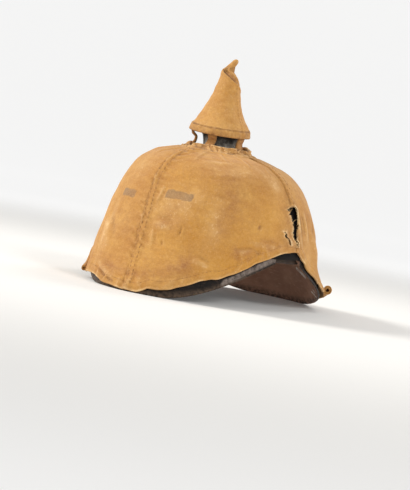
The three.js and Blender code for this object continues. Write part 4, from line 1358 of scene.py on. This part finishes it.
def spike_object():
    grids = [lathe_rows(profile) for profile in (SPIKE_FACE, SPIKE_HOLLOW)]
    rows = min(map(len, grids))
    face, hollow = (grid[np.linspace(0, len(grid) - 1, rows).round().astype(int)] for grid in grids)
    # Painted shade on the neck, darker towards the cover.
    painted_shade = smoothstep(face[..., 2], *SHADE_RISE)
    return wall_object("spike_metal", face, hollow, True, {"painted_shade": painted_shade})


finish_piece(spike_object(), metal_material(), "dark_metal", "spike")

# Stage, in metres: a pale floor that curves up into a backdrop all round
FLOOR_RADIUS = 2.6
BOWL_RADIUS = 1.6
BOWL_SIDES = 160
WALL_STEPS = (0.5, 1.0, 2.0)
GLOW_REACH = (0.3, 1.6)
FLOOR_GLOW = (0.06, 0.71)


def floor_object():
    profile = [(radius, 0.0) for radius in np.linspace(0.02, FLOOR_RADIUS, 24)]
    for angle in np.linspace(0, np.pi / 2, 30)[1:]:
        bend = (FLOOR_RADIUS + BOWL_RADIUS * math.sin(angle), BOWL_RADIUS * (1 - math.cos(angle)))
        profile.append(bend)
    profile += [(FLOOR_RADIUS + BOWL_RADIUS, BOWL_RADIUS + step) for step in WALL_STEPS]
    around = np.linspace(0, 2 * np.pi, BOWL_SIDES, endpoint=False)
    points = [(r * math.cos(a), r * math.sin(a), height) for r, height in profile for a in around]
    cells = grid_faces(len(profile), BOWL_SIDES, True)[..., ::-1].reshape(-1, 4)
    mesh = bpy.data.meshes.new("floor")
    mesh.from_pydata(points, [], [*cells.tolist(), list(range(BOWL_SIDES))])
    mesh.polygons.foreach_set("use_smooth", np.ones(len(mesh.polygons), bool))
    return bpy.data.objects.new("floor", mesh)


def floor_material():
    """White paper, lit from itself away from the helmet so that the backdrop is even."""
    n = Nodes("floor")
    distance = n.add("ShaderNodeVectorMath", {"operation": "LENGTH"}, Vector=n.place).outputs["Value"]
    away = n.span(distance, *GLOW_REACH)
    return n.finish(
        Base_Color=n.mix(away, srgb(228, 226, 222), srgb(150, 150, 149)),
        Roughness=0.9,
        Specular_IOR_Level=0.05,
        Emission_Color=(1, 1, 1, 1),
        Emission_Strength=n.span(away, 0, 1, FLOOR_GLOW),
    )


floor = floor_object()
bpy.context.scene.collection.objects.link(floor)
floor.data.materials.append(floor_material())

# Light: a wide soft key from the upper left in front, a fill from the right, and a pale surround
MIDDLE = Vector((0, 0, 0.1))
LIGHT_SPREAD = 60
SURROUND_STRENGTH = 0.3


def soft_light(name, place, size, power, colour):
    lamp = bpy.data.lights.new(name, "AREA")
    lamp.shape = "DISK"
    lamp.size = size
    lamp.energy = power
    lamp.color = colour
    lamp.spread = math.radians(LIGHT_SPREAD)
    obj = bpy.data.objects.new(name, lamp)
    obj.location = place
    obj.rotation_euler = (MIDDLE - Vector(place)).to_track_quat("-Z", "Y").to_euler()
    bpy.context.scene.collection.objects.link(obj)


soft_light("key", (-1.6, -1.0, 1.6), 0.7, 4.8, (1, 0.985, 0.96))
soft_light("fill", (1.8, -0.5, 1.4), 0.7, 1.8, (0.97, 0.98, 1))
soft_light("back", (0.4, 1.6, 1.7), 0.8, 1.6, (1, 1, 1))
world = bpy.data.worlds.new("surround")
world.use_nodes = True
surround = world.node_tree.nodes["Background"]
surround.inputs["Color"].default_value = (1, 1, 1, 1)
surround.inputs["Strength"].default_value = SURROUND_STRENGTH
bpy.context.scene.world = world
bpy.context.scene.view_settings.view_transform = "Standard"

# Camera, fitted to the outline in the picture
TARGET = np.array([0, SPIKE_Y, CROWN_Z])
CAMERA_TURN = 32
CAMERA_RISE = 1
CAMERA_ROLL = 9.8
CAMERA_REACH = 1700
PICTURE_SCALE = 1.06
AIM_LEFT = 13
AIM_DOWN = 93
LENS = 132.4
SENSOR = 36


def place_camera():
    turn, rise, roll = (math.radians(angle) for angle in (CAMERA_TURN, CAMERA_RISE, CAMERA_ROLL))
    back = np.array([math.sin(turn) * math.cos(rise), -math.cos(turn) * math.cos(rise), math.sin(rise)])
    level = np.array([math.cos(turn), math.sin(turn), 0])
    up = np.cross(back, level)
    right = level * math.cos(roll) + up * math.sin(roll)
    top = up * math.cos(roll) - level * math.sin(roll)
    place = STAND @ (TARGET + back * CAMERA_REACH)
    aim = STAND @ (TARGET - (right * AIM_LEFT + top * AIM_DOWN) / PICTURE_SCALE)
    look = unit(place - aim)
    side = unit(np.cross(STAND @ top, look))
    axes = np.stack([side, np.cross(look, side), look], -1)
    camera = bpy.data.objects.new("camera", bpy.data.cameras.new("camera"))
    camera.data.lens = LENS
    camera.data.sensor_width = SENSOR
    camera.matrix_world = Matrix.Translation(Vector(place * MM)) @ Matrix(axes.tolist()).to_4x4()
    bpy.context.scene.collection.objects.link(camera)
    bpy.context.scene.camera = camera


place_camera()
